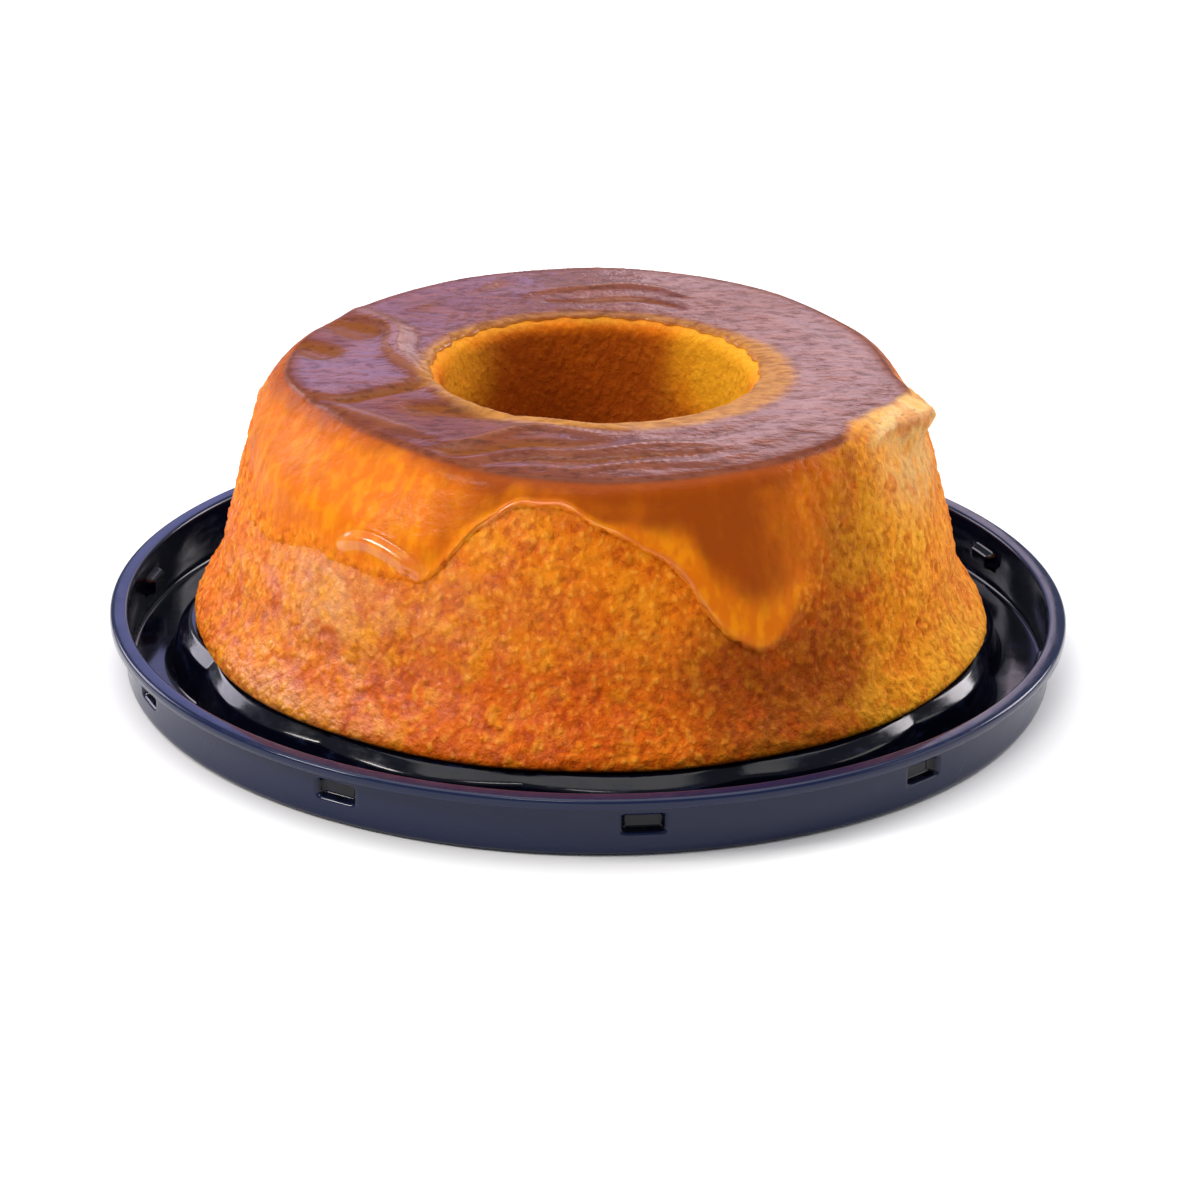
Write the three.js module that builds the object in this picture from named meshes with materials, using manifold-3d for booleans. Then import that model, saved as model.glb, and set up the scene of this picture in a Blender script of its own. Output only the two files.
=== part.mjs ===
// A ring-shaped orange sponge cake, turned out of its tin with the narrow end up. A set orange glaze lies
// over its top and runs down its side, and it stands on the raised platform of a round thin-walled tray.
// Millimetres, +Z up. The origin is the centre of the tray's underside, and -Y is the front.
import * as THREE from "three";
import { mergeVertices } from "three/addons/utils/BufferGeometryUtils.js";
import Module from "manifold-3d";

// Driving dimensions of the tray.
const TRAY_RADIUS = 130; // outer edge of the lip
const TRAY_HEIGHT = 17.2;
const SHEET = 1.0; // wall thickness of the moulded sheet
const WALL_RADIUS = 126; // outside of the upright wall, at its foot
const LIP_DROP = 2.6; // how far the lip's outer edge turns down
const PLATFORM_HEIGHT = 13.4;
const PLATFORM_RADIUS = 110; // mean radius of the platform's side
const SHOULDER = 3.4; // size of the platform's rounded shoulder
const SIDE_SPREAD = 2.6; // how far the platform's side leans out, down to its foot
const LOBE_DEPTH = 3.2; // how far each notch between the platform's lobes goes in
const LOBES = 12;
const BEND = 2; // size of the sheet's bends at the floor
const LIP_BEND = 1.2; // and at the lip
const SNAPS = 10; // dimples in the wall that hold a lid
const SNAP_WIDTH = 11.6;
const SNAP_HEIGHT = 5.8;
const SNAP_DEPTH = 2.4;
const SNAP_TAPER = 0.82; // share of its mouth's size that a dimple's end has
const SNAP_LEVEL = 8.8; // height of a dimple's middle
const FRONT_SNAP_ANGLE = 6.5; // degrees from the front towards +X

// Driving dimensions of the cake.
const REST_GAP = 0.3; // clearance between pieces that touch
const CAKE_BOTTOM = PLATFORM_HEIGHT + REST_GAP;
const CAKE_TOP = 83;
const HOLE_RADIUS = 41; // at the top
const HOLE_FOOT_RADIUS = 36;
const HOLE_ROUND = 10; // height of the rounded mouth of the hole
const FOOT_RADIUS = 105.8; // edge of the flat underside
const HOLE_SHIFT = 1; // how far the hole sits towards +X
const GLAZE_GAP = 0.4; // the glaze bends over the cake's facets, so it stands a little further off
const GLAZE_THICKNESS = 1.1;

const TRAY_STEPS = 96; // facets round the vertical axis, a multiple of LOBES and of 4
const CAKE_STEPS = 72;
const radians = THREE.MathUtils.degToRad;

// A point at an angle from the front towards +X.
const around = (radius, angle, z) => [radius * Math.sin(angle), -radius * Math.cos(angle), z];

// A smooth hill, 1 at angle 0 and 0 beyond the half width. Both are in degrees.
function hill(angle, halfWidth) {
  const wrapped = THREE.MathUtils.euclideanModulo(angle + 180, 360) - 180;
  const share = Math.min(1, Math.abs(wrapped) / halfWidth);
  return 0.5 + 0.5 * Math.cos(Math.PI * share);
}

// Closes the surface that outlineAt(angle) sweeps round the vertical axis. Each outline is a list of
// [x, y, z] points, equally many at every angle. A closed outline joins its last point to its first; an open
// one starts and ends on the axis.
function sweepRound(outlineAt, steps, closed) {
  const positions = [];
  const quads = [];
  const rings = Array.from({ length: steps }, (_, i) => outlineAt((2 * Math.PI * i) / steps));
  const count = rings[0].length;
  const joins = closed ? count : count - 1;
  for (const ring of rings) for (const point of ring) positions.push(...point);
  for (let i = 0; i < steps; i++) {
    const next = (i + 1) % steps;
    for (let j = 0; j < joins; j++) {
      const above = (j + 1) % count;
      const [a, b] = [i * count + j, next * count + j];
      const [c, d] = [next * count + above, i * count + above];
      quads.push(a, b, c, a, c, d);
    }
  }
  const geometry = new THREE.BufferGeometry();
  geometry.setAttribute("position", new THREE.Float32BufferAttribute(positions, 3));
  geometry.setIndex(quads);
  return dropSlivers(mergeVertices(geometry, 1e-4));
}

// Removes the triangles that merging points on the axis has flattened to a line.
function dropSlivers(geometry) {
  const kept = [];
  const index = geometry.index.array;
  for (let i = 0; i < index.length; i += 3) {
    const [a, b, c] = [index[i], index[i + 1], index[i + 2]];
    if (a !== b && b !== c && c !== a) kept.push(a, b, c);
  }
  geometry.setIndex(kept);
  return geometry;
}

// Points on a rounded corner, from the end of one flat to the start of the next.
function corner([fromR, fromZ], [cornerR, cornerZ], [toR, toZ]) {
  const curve = new THREE.QuadraticBezierCurve(
    new THREE.Vector2(fromR, fromZ),
    new THREE.Vector2(cornerR, cornerZ),
    new THREE.Vector2(toR, toZ),
  );
  return curve.getPoints(2).map((p) => [p.x, p.y]);
}

// ---- tray ----

// How far the platform's side stands at an angle: outward lobes that meet in shallow notches.
function platformRadius(angle) {
  const turn = (angle - radians(FRONT_SNAP_ANGLE)) * (LOBES / 2);
  const meanLobe = 2 / Math.PI;
  return PLATFORM_RADIUS + LOBE_DEPTH * (Math.abs(Math.cos(turn)) - meanLobe);
}

// The sheet's section at an angle, from the axis over the top face to the lip and back under it to the axis.
function trayOutline(angle) {
  const side = platformRadius(angle);
  const foot = side + SIDE_SPREAD;
  const below = PLATFORM_HEIGHT - SHOULDER;
  const underside = PLATFORM_HEIGHT - SHEET;
  const inner = WALL_RADIUS - SHEET;
  const top = TRAY_HEIGHT;
  const upper = [
    [0, PLATFORM_HEIGHT],
    [side / 2, PLATFORM_HEIGHT],
    ...corner([side - SHOULDER, PLATFORM_HEIGHT], [side, PLATFORM_HEIGHT], [side + SHEET, below]),
    ...corner([foot, SHEET + BEND], [foot, SHEET], [foot + BEND, SHEET]),
    ...corner([inner - BEND, SHEET], [inner, SHEET], [inner, SHEET + BEND]),
    ...corner([inner, top - LIP_BEND], [inner, top], [inner + LIP_BEND, top]),
    ...corner([TRAY_RADIUS - LIP_BEND, top], [TRAY_RADIUS, top], [TRAY_RADIUS, top - LIP_BEND]),
  ];
  const lower = [
    [TRAY_RADIUS, top - LIP_DROP],
    [TRAY_RADIUS - SHEET, top - LIP_DROP],
    [TRAY_RADIUS - SHEET, top - SHEET],
    [WALL_RADIUS, top - SHEET],
    ...corner([WALL_RADIUS, BEND], [WALL_RADIUS, 0], [WALL_RADIUS - BEND, 0]),
    ...corner([foot + BEND, 0], [foot - SHEET, 0], [foot - SHEET, BEND]),
    ...corner([side, below], [side - SHEET, underside], [side - SHOULDER, underside]),
    [0, underside],
  ];
  return [...upper, ...lower].reverse().map(([r, z]) => around(r, angle, z));
}

// A block that tapers inwards from a radius, for a snap dimple. reach is how far in it goes.
function snapBlock(width, height, reach, radius) {
  const halves = [[-1, -1], [1, -1], [1, 1], [-1, 1]].map(([u, v]) => [(u * width) / 2, (v * height) / 2]);
  const corners = (share, r) => halves.map(([x, z]) => [x * share, -r, z * share]);
  const positions = [...corners(1, radius), ...corners(SNAP_TAPER, radius - reach)].flat();
  const faces = [0, 1, 2, 0, 2, 3, 4, 6, 5, 4, 7, 6];
  for (let i = 0; i < 4; i++) {
    const next = (i + 1) % 4;
    faces.push(i, 4 + i, 4 + next, i, 4 + next, next);
  }
  const geometry = new THREE.BufferGeometry();
  geometry.setAttribute("position", new THREE.Float32BufferAttribute(positions, 3));
  geometry.setIndex(faces);
  return geometry;
}

// ---- cake ----

// The cake's section, out along its bottom, up its side, over its top and down the hole.
function cakeSection() {
  const outline = new THREE.Path();
  const throughPoints = (points) => outline.splineThru(points.map(([r, z]) => new THREE.Vector2(r, z)));
  outline.moveTo(HOLE_FOOT_RADIUS + BEND, CAKE_BOTTOM);
  outline.lineTo(FOOT_RADIUS, CAKE_BOTTOM);
  throughPoints([
    [107.6, 16.4],
    [104.6, 22],
    [101.2, 28],
    [98.7, 39],
    [94.6, 55],
    [90.4, 69],
    [87, 78],
    [83.2, CAKE_TOP - 0.2],
  ]);
  throughPoints([
    [66, CAKE_TOP + 0.5],
    [50, CAKE_TOP - 0.4],
    [43.6, CAKE_TOP - 3.4],
    [HOLE_RADIUS, CAKE_TOP - HOLE_ROUND],
    [38.4, 45],
    [HOLE_FOOT_RADIUS, CAKE_BOTTOM + BEND],
  ]);
  return outline;
}

// How the side bulges near the foot, in millimetres. The angle is in degrees.
const footBulge = (degrees) => 0.8 * hill(degrees + 40, 60) - 0.7 * hill(degrees - 90, 60);

// How far the side waves in and out, in millimetres. The angle is in radians.
const wave = (angle) => 0.5 * Math.sin(3 * angle + 1.1);

// How much further in the upper edge stands, on the left of the front.
const edgeDip = (degrees) => 1.6 * hill(degrees + 52, 50);

// The upper edge is a little longer from front to back than from side to side, and on the right a tip of
// torn skin stands out from it. In millimetres.
const OVAL = 1.8;
const TIP_ANGLE = 74;
const edgeReach = (degrees) => OVAL * Math.cos(radians(2 * degrees)) + 3 * hill(degrees - TIP_ANGLE, 15);

// Moves a point of a true ring to where the real cake has it.
function strayed(radius, z, angle) {
  const { lerp, radToDeg, smoothstep } = THREE.MathUtils;
  const height = (z - CAKE_BOTTOM) / (CAKE_TOP - CAKE_BOTTOM);
  const outside = smoothstep(radius, HOLE_RADIUS + 9, FOOT_RADIUS - 16);
  const degrees = radToDeg(angle);
  const low = lerp(footBulge(degrees), 0, smoothstep(height, 0.1, 0.5)) + wave(angle);
  const dip = edgeDip(degrees) * outside * smoothstep(height, 0.9, 1);
  const reach = edgeReach(degrees) * smoothstep(height, 0.7, 0.98);
  const [x, y] = around(radius + outside * (low + reach) - dip, angle, z);
  return [x + HOLE_SHIFT * (1 - outside), y, z - dip / 2];
}

const SECTION = cakeSection();
const cakeOutline = (angle) => SECTION.getPoints(2).map((p) => strayed(p.x, p.y, angle));

// ---- glaze ----

// Runs of glaze down the side: [angle from the front, half width, drop below the top edge].
const RUNS = [
  [27, 27, 41],
  [-27, 34, 27],
  [-78, 30, 18],
  [-112, 26, 33],
  [-146, 24, 20],
  [-180, 28, 31],
  [147, 24, 17],
  [114, 26, 35],
];
const BARE = [68, 30]; // the stretch of the side with no glaze: its middle and half width
const BARE_SHARPNESS = 2.2; // how fast the glaze draws back at its ends
const LEAST_DROP = 6.5;
const BARE_DROP = 5;
const MOUTH_RADIUS = 48.5; // the glaze's inner edge on the top

// Height of the glaze's lower edge on the side.
function glazeFoot(degrees) {
  const drops = RUNS.map(([middle, halfWidth, drop]) => drop * hill(degrees - middle, halfWidth));
  const bare = Math.min(1, BARE_SHARPNESS * hill(degrees - BARE[0], BARE[1]));
  return CAKE_TOP - THREE.MathUtils.lerp(Math.max(LEAST_DROP, ...drops), BARE_DROP, bare);
}

// Radius of the glaze's inner edge on the top, wider towards the right of the front.
function glazeMouth(degrees) {
  return MOUTH_RADIUS + 1.2 * Math.sin(radians(3 * degrees)) + 6 * hill(degrees - BARE[0], 42);
}

// Over the cake's upper edge the glaze bends at the same points as the cake, so the two stay apart.
const FINE = 12; // points on the fine section for each one on the plain section
const fineSection = SECTION.getPoints(2 * FINE);
const isUpperEdge = (p) => p.y > CAKE_TOP - LEAST_DROP + 1.5 && p.x > HOLE_RADIUS + 19;
const upperEdge = SECTION.getPoints(2)
  .filter(isUpperEdge)
  .map((p) => fineSection.findIndex((q) => q.distanceTo(p) < 1e-6));

// Indices from one to another in equal steps, without the last.
function indicesBetween(from, to, count) {
  return Array.from({ length: count }, (_, i) => Math.round(from + ((to - from) * i) / count));
}

// The points of the fine section that the glaze's section passes through at an angle.
function coveredPoints(angle) {
  const degrees = THREE.MathUtils.radToDeg(angle);
  const foot = fineSection.findIndex((p) => p.x > FOOT_RADIUS / 2 && p.y >= glazeFoot(degrees));
  const mouth = fineSection.findIndex((p) => p.y > CAKE_TOP / 2 && p.x <= glazeMouth(degrees));
  const down = indicesBetween(foot, upperEdge[0], 4);
  const across = indicesBetween(upperEdge.at(-1), mouth, 3).slice(1);
  return [...down, ...upperEdge, ...across, mouth];
}

const EDGE_SHARE = 0.35; // share of its full thickness that the glaze has at its edges

// A closed skin on the cake, thin at both edges.
function glazeOutline(angle) {
  const points = coveredPoints(angle);
  const lifted = (index, lift) => {
    const [before, here, after] = [-1, 0, 1].map((step) => fineSection[index + step]);
    const along = after.clone().sub(before).normalize();
    return strayed(here.x + along.y * lift, here.y - along.x * lift, angle);
  };
  const last = points.length - 1;
  const fullness = (i) => Math.sqrt(Math.sin((Math.PI * i) / last));
  const thickness = (i) => GLAZE_THICKNESS * THREE.MathUtils.lerp(EDGE_SHARE, 1, fullness(i));
  const outer = points.map((index, i) => lifted(index, GLAZE_GAP + thickness(i)));
  const inner = points.map((index) => lifted(index, GLAZE_GAP)).reverse();
  return [...outer, ...inner];
}

// ---- assembly ----

const wasm = await Module();
wasm.setup();

function toSolid(geometry) {
  const { position } = geometry.attributes;
  return new wasm.Manifold(
    new wasm.Mesh({
      numProp: 3,
      vertProperties: new Float32Array(position.array),
      triVerts: new Uint32Array(geometry.index.array),
    }),
  );
}

function toGeometry(solid) {
  const { vertProperties, triVerts } = solid.getMesh();
  const geometry = new THREE.BufferGeometry();
  geometry.setAttribute("position", new THREE.BufferAttribute(vertProperties, 3));
  geometry.setIndex(new THREE.BufferAttribute(triVerts, 1));
  return geometry;
}

// The tray with its ring of dimples, each pressed into the wall from outside.
function trayGeometry() {
  let tray = toSolid(sweepRound(trayOutline, TRAY_STEPS, false));
  for (let i = 0; i < SNAPS; i++) {
    const turn = radians(FRONT_SNAP_ANGLE + (360 * i) / SNAPS);
    const place = (geometry) => toSolid(geometry.rotateZ(turn).translate(0, 0, SNAP_LEVEL));
    const skin = 2 * SHEET;
    const middle = WALL_RADIUS - SHEET / 2;
    const bump = snapBlock(SNAP_WIDTH + skin, SNAP_HEIGHT + skin, SNAP_DEPTH + SHEET / 2, middle);
    const pocket = snapBlock(SNAP_WIDTH, SNAP_HEIGHT, SNAP_DEPTH + SHEET, WALL_RADIUS + SHEET);
    tray = tray.add(place(bump)).subtract(place(pocket));
  }
  return toGeometry(tray);
}

function named(name, geometry, color, roughness) {
  const material = new THREE.MeshStandardMaterial({ color, roughness, metalness: 0 });
  const mesh = new THREE.Mesh(geometry, material);
  mesh.name = name;
  return mesh;
}

const cakeOnTray = new THREE.Group();
cakeOnTray.add(
  named("tray", trayGeometry(), 0x14151c, 0.22),
  named("sponge_cake", sweepRound(cakeOutline, CAKE_STEPS, true), 0xd9791c, 0.7),
  named("orange_glaze", sweepRound(glazeOutline, CAKE_STEPS, true), 0x9a4a1c, 0.2),
);

export default cakeOnTray;
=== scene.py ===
"""A glazed orange ring cake on a black plastic tray.

The cake was turned out of its tin with the narrow end up. Everything is in metres, +Z up, with the front
towards -Y. An angle round the cake is in degrees, from the front towards +X.
"""

import math

import bmesh
import bpy
import numpy as np
from mathutils import Matrix, Vector


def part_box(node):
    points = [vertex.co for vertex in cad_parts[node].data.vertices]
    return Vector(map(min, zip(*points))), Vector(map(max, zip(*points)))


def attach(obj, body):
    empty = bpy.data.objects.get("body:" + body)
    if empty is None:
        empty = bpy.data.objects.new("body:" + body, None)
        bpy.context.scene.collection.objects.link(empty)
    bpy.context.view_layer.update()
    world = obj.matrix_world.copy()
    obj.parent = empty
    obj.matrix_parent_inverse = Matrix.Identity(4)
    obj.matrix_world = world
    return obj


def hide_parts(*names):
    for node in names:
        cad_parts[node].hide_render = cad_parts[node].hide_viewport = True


bl_info = {
    "name": "Orange Ring Cake",
    "version": (1, 0, 0),
    "blender": (4, 5, 0),
    "location": "3D View > Sidebar > Cake",
    "description": "Makes a glazed orange ring cake on its tray",
    "category": "Object",
}

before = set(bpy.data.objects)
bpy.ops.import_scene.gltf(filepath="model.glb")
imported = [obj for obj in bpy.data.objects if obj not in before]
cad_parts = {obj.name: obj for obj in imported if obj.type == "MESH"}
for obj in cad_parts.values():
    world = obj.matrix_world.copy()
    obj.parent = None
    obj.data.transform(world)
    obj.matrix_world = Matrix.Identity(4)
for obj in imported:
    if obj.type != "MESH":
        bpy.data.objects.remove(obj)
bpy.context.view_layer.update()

MM = 0.001
TRAY_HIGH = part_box("tray")[1]
CAKE_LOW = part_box("sponge_cake")[0]


# ---- settings ----


def length(name, description, default):
    """A size in metres."""
    return bpy.props.FloatProperty(
        name=name, description=description, default=default, unit="LENGTH", precision=4
    )


def tint(name, description, default):
    """A colour."""
    return bpy.props.FloatVectorProperty(
        name=name, description=description, default=default, size=3, min=0, max=1, subtype="COLOR"
    )


def degrees(name, description, default):
    """An angle, with its default in degrees."""
    return bpy.props.FloatProperty(
        name=name, description=description, default=math.radians(default), unit="ROTATION", subtype="ANGLE"
    )


def power(name, description, default):
    """What a light gives, in watts."""
    return bpy.props.FloatProperty(name=name, description=description, default=default, min=0, unit="POWER")


class TraySettings(bpy.types.PropertyGroup):
    """Sizes and colour of the tray."""

    radius: length("Radius", "Outer edge of the lip", TRAY_HIGH.x)
    height: length("Height", "Top of the lip", TRAY_HIGH.z)
    sheet: length("Sheet", "Thickness of the plastic sheet", 0.9 * MM)
    wall_radius: length("Wall Radius", "Outside of the upright wall", TRAY_HIGH.x - 4 * MM)
    platform_radius: length("Platform Radius", "Mean radius of the platform's side", 110 * MM)
    platform_height: length("Platform Height", "Face that the cake stands on", 13.4 * MM)
    lobes: bpy.props.IntProperty(name="Lobes", description="Lobes round the platform", default=12, min=1)
    lobe_depth: length("Lobe Depth", "How far each notch between two lobes goes in", 3.2 * MM)
    snaps: bpy.props.IntProperty(name="Snaps", description="Dimples that hold a lid", default=10, min=1)
    snap_width: length("Snap Width", "Width of a dimple", 11.6 * MM)
    snap_height: length("Snap Height", "Height of a dimple", 5.8 * MM)
    snap_depth: length("Snap Depth", "How far a dimple goes in", 2.4 * MM)
    snap_level: length("Snap Level", "Height of a dimple's middle", 8.8 * MM)
    first_snap: degrees("First Snap", "Angle of the dimple nearest the front", 6.5)
    colour: tint("Colour", "Black plastic", (0.0015, 0.0018, 0.006))
    # Painted reflection: the outside of the wall is lighter and bluer than the inside.
    skirt_reflection: tint("Skirt", "The wall's hazier outside", (0.0075, 0.0125, 0.045))


class SpongeSettings(bpy.types.PropertyGroup):
    """Sizes and colours of the sponge."""

    hole_radius: length("Hole Radius", "Radius of the hole, near the top", 41 * MM)
    hole_foot_radius: length("Hole Foot Radius", "Radius of the hole at the bottom", 36 * MM)
    hole_shift: length("Hole Shift", "How far the hole sits towards +X", 1.0 * MM)
    grain_size: length("Grain Size", "Width of one grain of the crumb", 2.5 * MM)
    grain_height: length("Grain Height", "How far the grains stand out", 1.15 * MM)
    pore_spacing: length("Pore Spacing", "Distance between the open pores", 3.6 * MM)
    pore_depth: length("Pore Depth", "Depth of the open pores", 0.8 * MM)
    crumb: tint("Crumb", "Open orange crumb", (0.76, 0.185, 0.003))
    # Also the painted shade deep in the hole.
    crust: tint("Crust", "Browner baked skin", (0.34, 0.063, 0.0015))
    ruddy: tint("Ruddy Crumb", "Redder crumb that the syrup has soaked", (0.74, 0.12, 0.002))
    # Also painted light at the foot and on the hole's wall.
    golden: tint("Golden Crumb", "Yellow crumb", (0.80, 0.37, 0.012))
    # Also painted light at the foot and painted reflection on the left of the side.
    pale: tint("Pale Crumb", "Crumb where the skin was torn off", (0.68, 0.37, 0.12))
    # Painted shade at the bottom of the pores.
    pore: tint("Pore", "Bottom of the pores", (0.26, 0.04, 0.001))


class GlazeSettings(bpy.types.PropertyGroup):
    """Sizes and colours of the glaze."""

    thickness: length("Thickness", "Thickness of the set glaze on the top", 1.1 * MM)
    bead: length("Bead", "Width of the rounded edge", 1.7 * MM)
    thin: tint("Thin Glaze", "Orange of a thin run", (0.66, 0.145, 0.0005))
    tan: tint("Tan Glaze", "Where the glaze thins out round the hole", (0.30, 0.11, 0.018))
    amber: tint("Amber Glaze", "Orange brown of a thick run", (0.31, 0.053, 0.0005))
    caramel: tint("Caramel", "Brown of the top", (0.15, 0.032, 0.011))


class StageSettings(bpy.types.PropertyGroup):
    """Camera, lights and floor."""

    distance: length("Camera Distance", "From the origin to the camera", 1.04)
    elevation: degrees("Elevation", "Height of the camera above the horizon", 23.54)
    roll: degrees("Roll", "Turn of the camera about its own axis", 0.87)
    focal: bpy.props.FloatProperty(name="Focal Length", description="Lens", default=113.3, unit="CAMERA")
    aim: bpy.props.FloatVectorProperty(
        name="Aim", description="Point in the middle of the picture", default=(0.0032, 0.0057, 0.013),
        size=3, unit="LENGTH", subtype="TRANSLATION",
    )
    floor: tint("Floor", "Pale floor", (0.93, 0.93, 0.93))
    key: power("Window", "Power of the light from the left", 10.4)
    glint: power("Glint", "Power of the small light in front", 2.4)
    fill: power("Fill", "Power of the light from the right", 3.6)
    top: power("Top Light", "Power of the wide light above", 39)
    sheen: power("Sheen Panels", "Power that the two low panels behind take a share of", 0.72)
    rim: power("Rim Panels", "Power that the two panels at the back corners take a share of", 10.0)


class CakeSettings(bpy.types.PropertyGroup):
    """All that a user would change."""

    tray: bpy.props.PointerProperty(type=TraySettings)
    sponge: bpy.props.PointerProperty(type=SpongeSettings)
    glaze: bpy.props.PointerProperty(type=GlazeSettings)
    stage: bpy.props.PointerProperty(type=StageSettings)


# ---- small helpers ----


def add_node(tree, kind, inputs=None, **settings):
    """Adds a node. inputs maps a socket's name or number to a value or to the output that feeds it."""
    node = tree.nodes.new(kind)
    for name, value in settings.items():
        setattr(node, name, value)
    for key, value in (inputs or {}).items():
        if isinstance(value, bpy.types.NodeSocket):
            tree.links.new(value, node.inputs[key])
        else:
            node.inputs[key].default_value = value
    return node


def calculate(tree, operation, *values):
    """A Math node's output."""
    return add_node(tree, "ShaderNodeMath", dict(enumerate(values)), operation=operation).outputs[0]


def vector_math(tree, operation, *values):
    """A Vector Math node's output."""
    return add_node(tree, "ShaderNodeVectorMath", dict(enumerate(values)), operation=operation).outputs[0]


def smooth_between(tree, value, low, high, to_low=0.0, to_high=1.0):
    """A smooth step of value from low to high."""
    inputs = {"Value": value, "From Min": low, "From Max": high, "To Min": to_low, "To Max": to_high}
    return add_node(tree, "ShaderNodeMapRange", inputs, interpolation_type="SMOOTHSTEP").outputs["Result"]


def opaque(colour):
    """A colour with full alpha."""
    return (*colour, 1.0)


def blend_colours(tree, factor, first, second, mode="MIX"):
    """first at factor 0 and second at factor 1. Each is a colour or an output."""
    node = add_node(tree, "ShaderNodeMix", data_type="RGBA", blend_type=mode)
    for socket, value in zip((node.inputs[0], node.inputs[6], node.inputs[7]), (factor, first, second)):
        if isinstance(value, bpy.types.NodeSocket):
            tree.links.new(value, socket)
        else:
            socket.default_value = value if isinstance(value, float) else opaque(value)
    return node.outputs[2]


def attribute(tree, name):
    """A number that the mesh holds at each vertex."""
    return add_node(tree, "ShaderNodeAttribute", attribute_name=name).outputs["Fac"]


def noise(tree, size, detail=2.0, roughness=0.5, stretch=(1, 1, 1)):
    """Noise from 0 to 1 whose blobs are size metres across in the piece's own coordinates."""
    place = add_node(tree, "ShaderNodeTexCoord").outputs["Object"]
    stretched = add_node(tree, "ShaderNodeMapping", {"Vector": place, "Scale": stretch})
    inputs = {"Vector": stretched.outputs[0], "Scale": 1 / size, "Detail": detail, "Roughness": roughness}
    return add_node(tree, "ShaderNodeTexNoise", inputs).outputs["Fac"]


def lumps(tree, size, stretch):
    """Rounded lumps of uneven size, about size metres across: 1 in their middles and 0 between them."""
    place = add_node(tree, "ShaderNodeTexCoord").outputs["Object"]
    stretched = add_node(tree, "ShaderNodeMapping", {"Vector": place, "Scale": stretch}).outputs[0]
    bend_inputs = {"Vector": stretched, "Scale": 0.7 / size, "Detail": 2.0}
    bend = add_node(tree, "ShaderNodeTexNoise", bend_inputs).outputs["Color"]
    warped = vector_math(tree, "MULTIPLY_ADD", bend, (size, size, size), stretched)
    inputs = {"Vector": warped, "Scale": 1 / size, "Smoothness": 0.6}
    distance = add_node(tree, "ShaderNodeTexVoronoi", inputs, feature="SMOOTH_F1").outputs["Distance"]
    return smooth_between(tree, distance, 0.62, 0.12)


def new_material(name):
    """A material with its node tree, its Principled shader and nothing else."""
    material = bpy.data.materials.new(name)
    material.use_nodes = True
    return material, material.node_tree, material.node_tree.nodes["Principled BSDF"]


def link_inputs(tree, node, outputs):
    """Feeds a node's inputs, by name, from other nodes' outputs."""
    for name, output in outputs.items():
        tree.links.new(output, node.inputs[name])


def new_piece(name, points, faces, attributes=None):
    """A mesh object at the origin. attributes maps a name to one number for each vertex."""
    mesh = bpy.data.meshes.new(name)
    mesh.from_pydata(points, [], faces)
    for key, values in (attributes or {}).items():
        mesh.attributes.new(key, "FLOAT", "POINT").data.foreach_set("value", np.ravel(values).astype("f"))
    mesh.shade_smooth()
    piece = bpy.data.objects.new(name, mesh)
    bpy.context.scene.collection.objects.link(piece)
    return piece


def ring_faces(columns, rows):
    """Quads of a closed section swept round the axis. Vertex number is column * rows + row."""
    column, row = np.meshgrid(np.arange(columns), np.arange(rows), indexing="ij")
    over, up = (column + 1) % columns, (row + 1) % rows
    quads = [column * rows + row, over * rows + row, over * rows + up, column * rows + up]
    return np.stack(quads, -1).reshape(-1, 4).tolist()


def finish_piece(piece, node):
    """The piece rides on the only body and stands for a CAD node."""
    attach(piece, "root")
    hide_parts(node)


def freeze_modifiers(piece):
    """Turns what the modifiers give into the piece's plain mesh."""
    bpy.context.view_layer.update()
    evaluated = piece.evaluated_get(bpy.context.evaluated_depsgraph_get())
    mesh = bpy.data.meshes.new_from_object(evaluated)
    piece.modifiers.clear()
    mesh.name = piece.name
    piece.data = mesh


def run_tree(piece, tree, values):
    """Runs a Geometry Nodes tree on a piece with the named inputs, and keeps the result as its mesh."""
    modifier = piece.modifiers.new(tree.name, "NODES")
    modifier.node_group = tree
    for item in tree.interface.items_tree:
        if item.item_type == "SOCKET" and item.in_out == "INPUT" and item.name in values:
            modifier[item.identifier] = values[item.name]
    freeze_modifiers(piece)


def new_geometry_tree(name, floats=(), integers=()):
    """A Geometry Nodes tree with named inputs and a Material. Returns the tree and what its inputs give."""
    tree = bpy.data.node_groups.new(name, "GeometryNodeTree")
    tree.is_modifier = True
    tree.interface.new_socket(name="Geometry", in_out="INPUT", socket_type="NodeSocketGeometry")
    kinds = [(floats, "NodeSocketFloat"), (integers, "NodeSocketInt"), (("Material",), "NodeSocketMaterial")]
    for names, kind in kinds:
        for socket_name in names:
            tree.interface.new_socket(name=socket_name, in_out="INPUT", socket_type=kind)
    tree.interface.new_socket(name="Geometry", in_out="OUTPUT", socket_type="NodeSocketGeometry")
    return tree, tree.nodes.new("NodeGroupInput").outputs


def end_tree(tree, geometry, material):
    """Ends a tree in real geometry with its material."""
    real = add_node(tree, "GeometryNodeRealizeInstances", {"Geometry": geometry})
    finished = add_node(tree, "GeometryNodeSetMaterial", {"Geometry": real.outputs[0], "Material": material})
    add_node(tree, "NodeGroupOutput", {"Geometry": finished.outputs[0]})


# ---- numbers along and round the cake ----

BLUR_SAMPLES = 17


def smoothstep(value, low, high):
    """0 at low and 1 at high, with a smooth rise between them. high may be less than low."""
    part = np.clip((value - low) / (high - low), 0, 1)
    return part * part * (3 - 2 * part)


def hill(angle, half_width):
    """1 at angle 0 and 0 beyond the half width. Both are in degrees."""
    wrapped = (np.asarray(angle) + 180) % 360 - 180
    return 0.5 + 0.5 * np.cos(np.pi * np.clip(np.abs(wrapped) / half_width, 0, 1))


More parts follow.
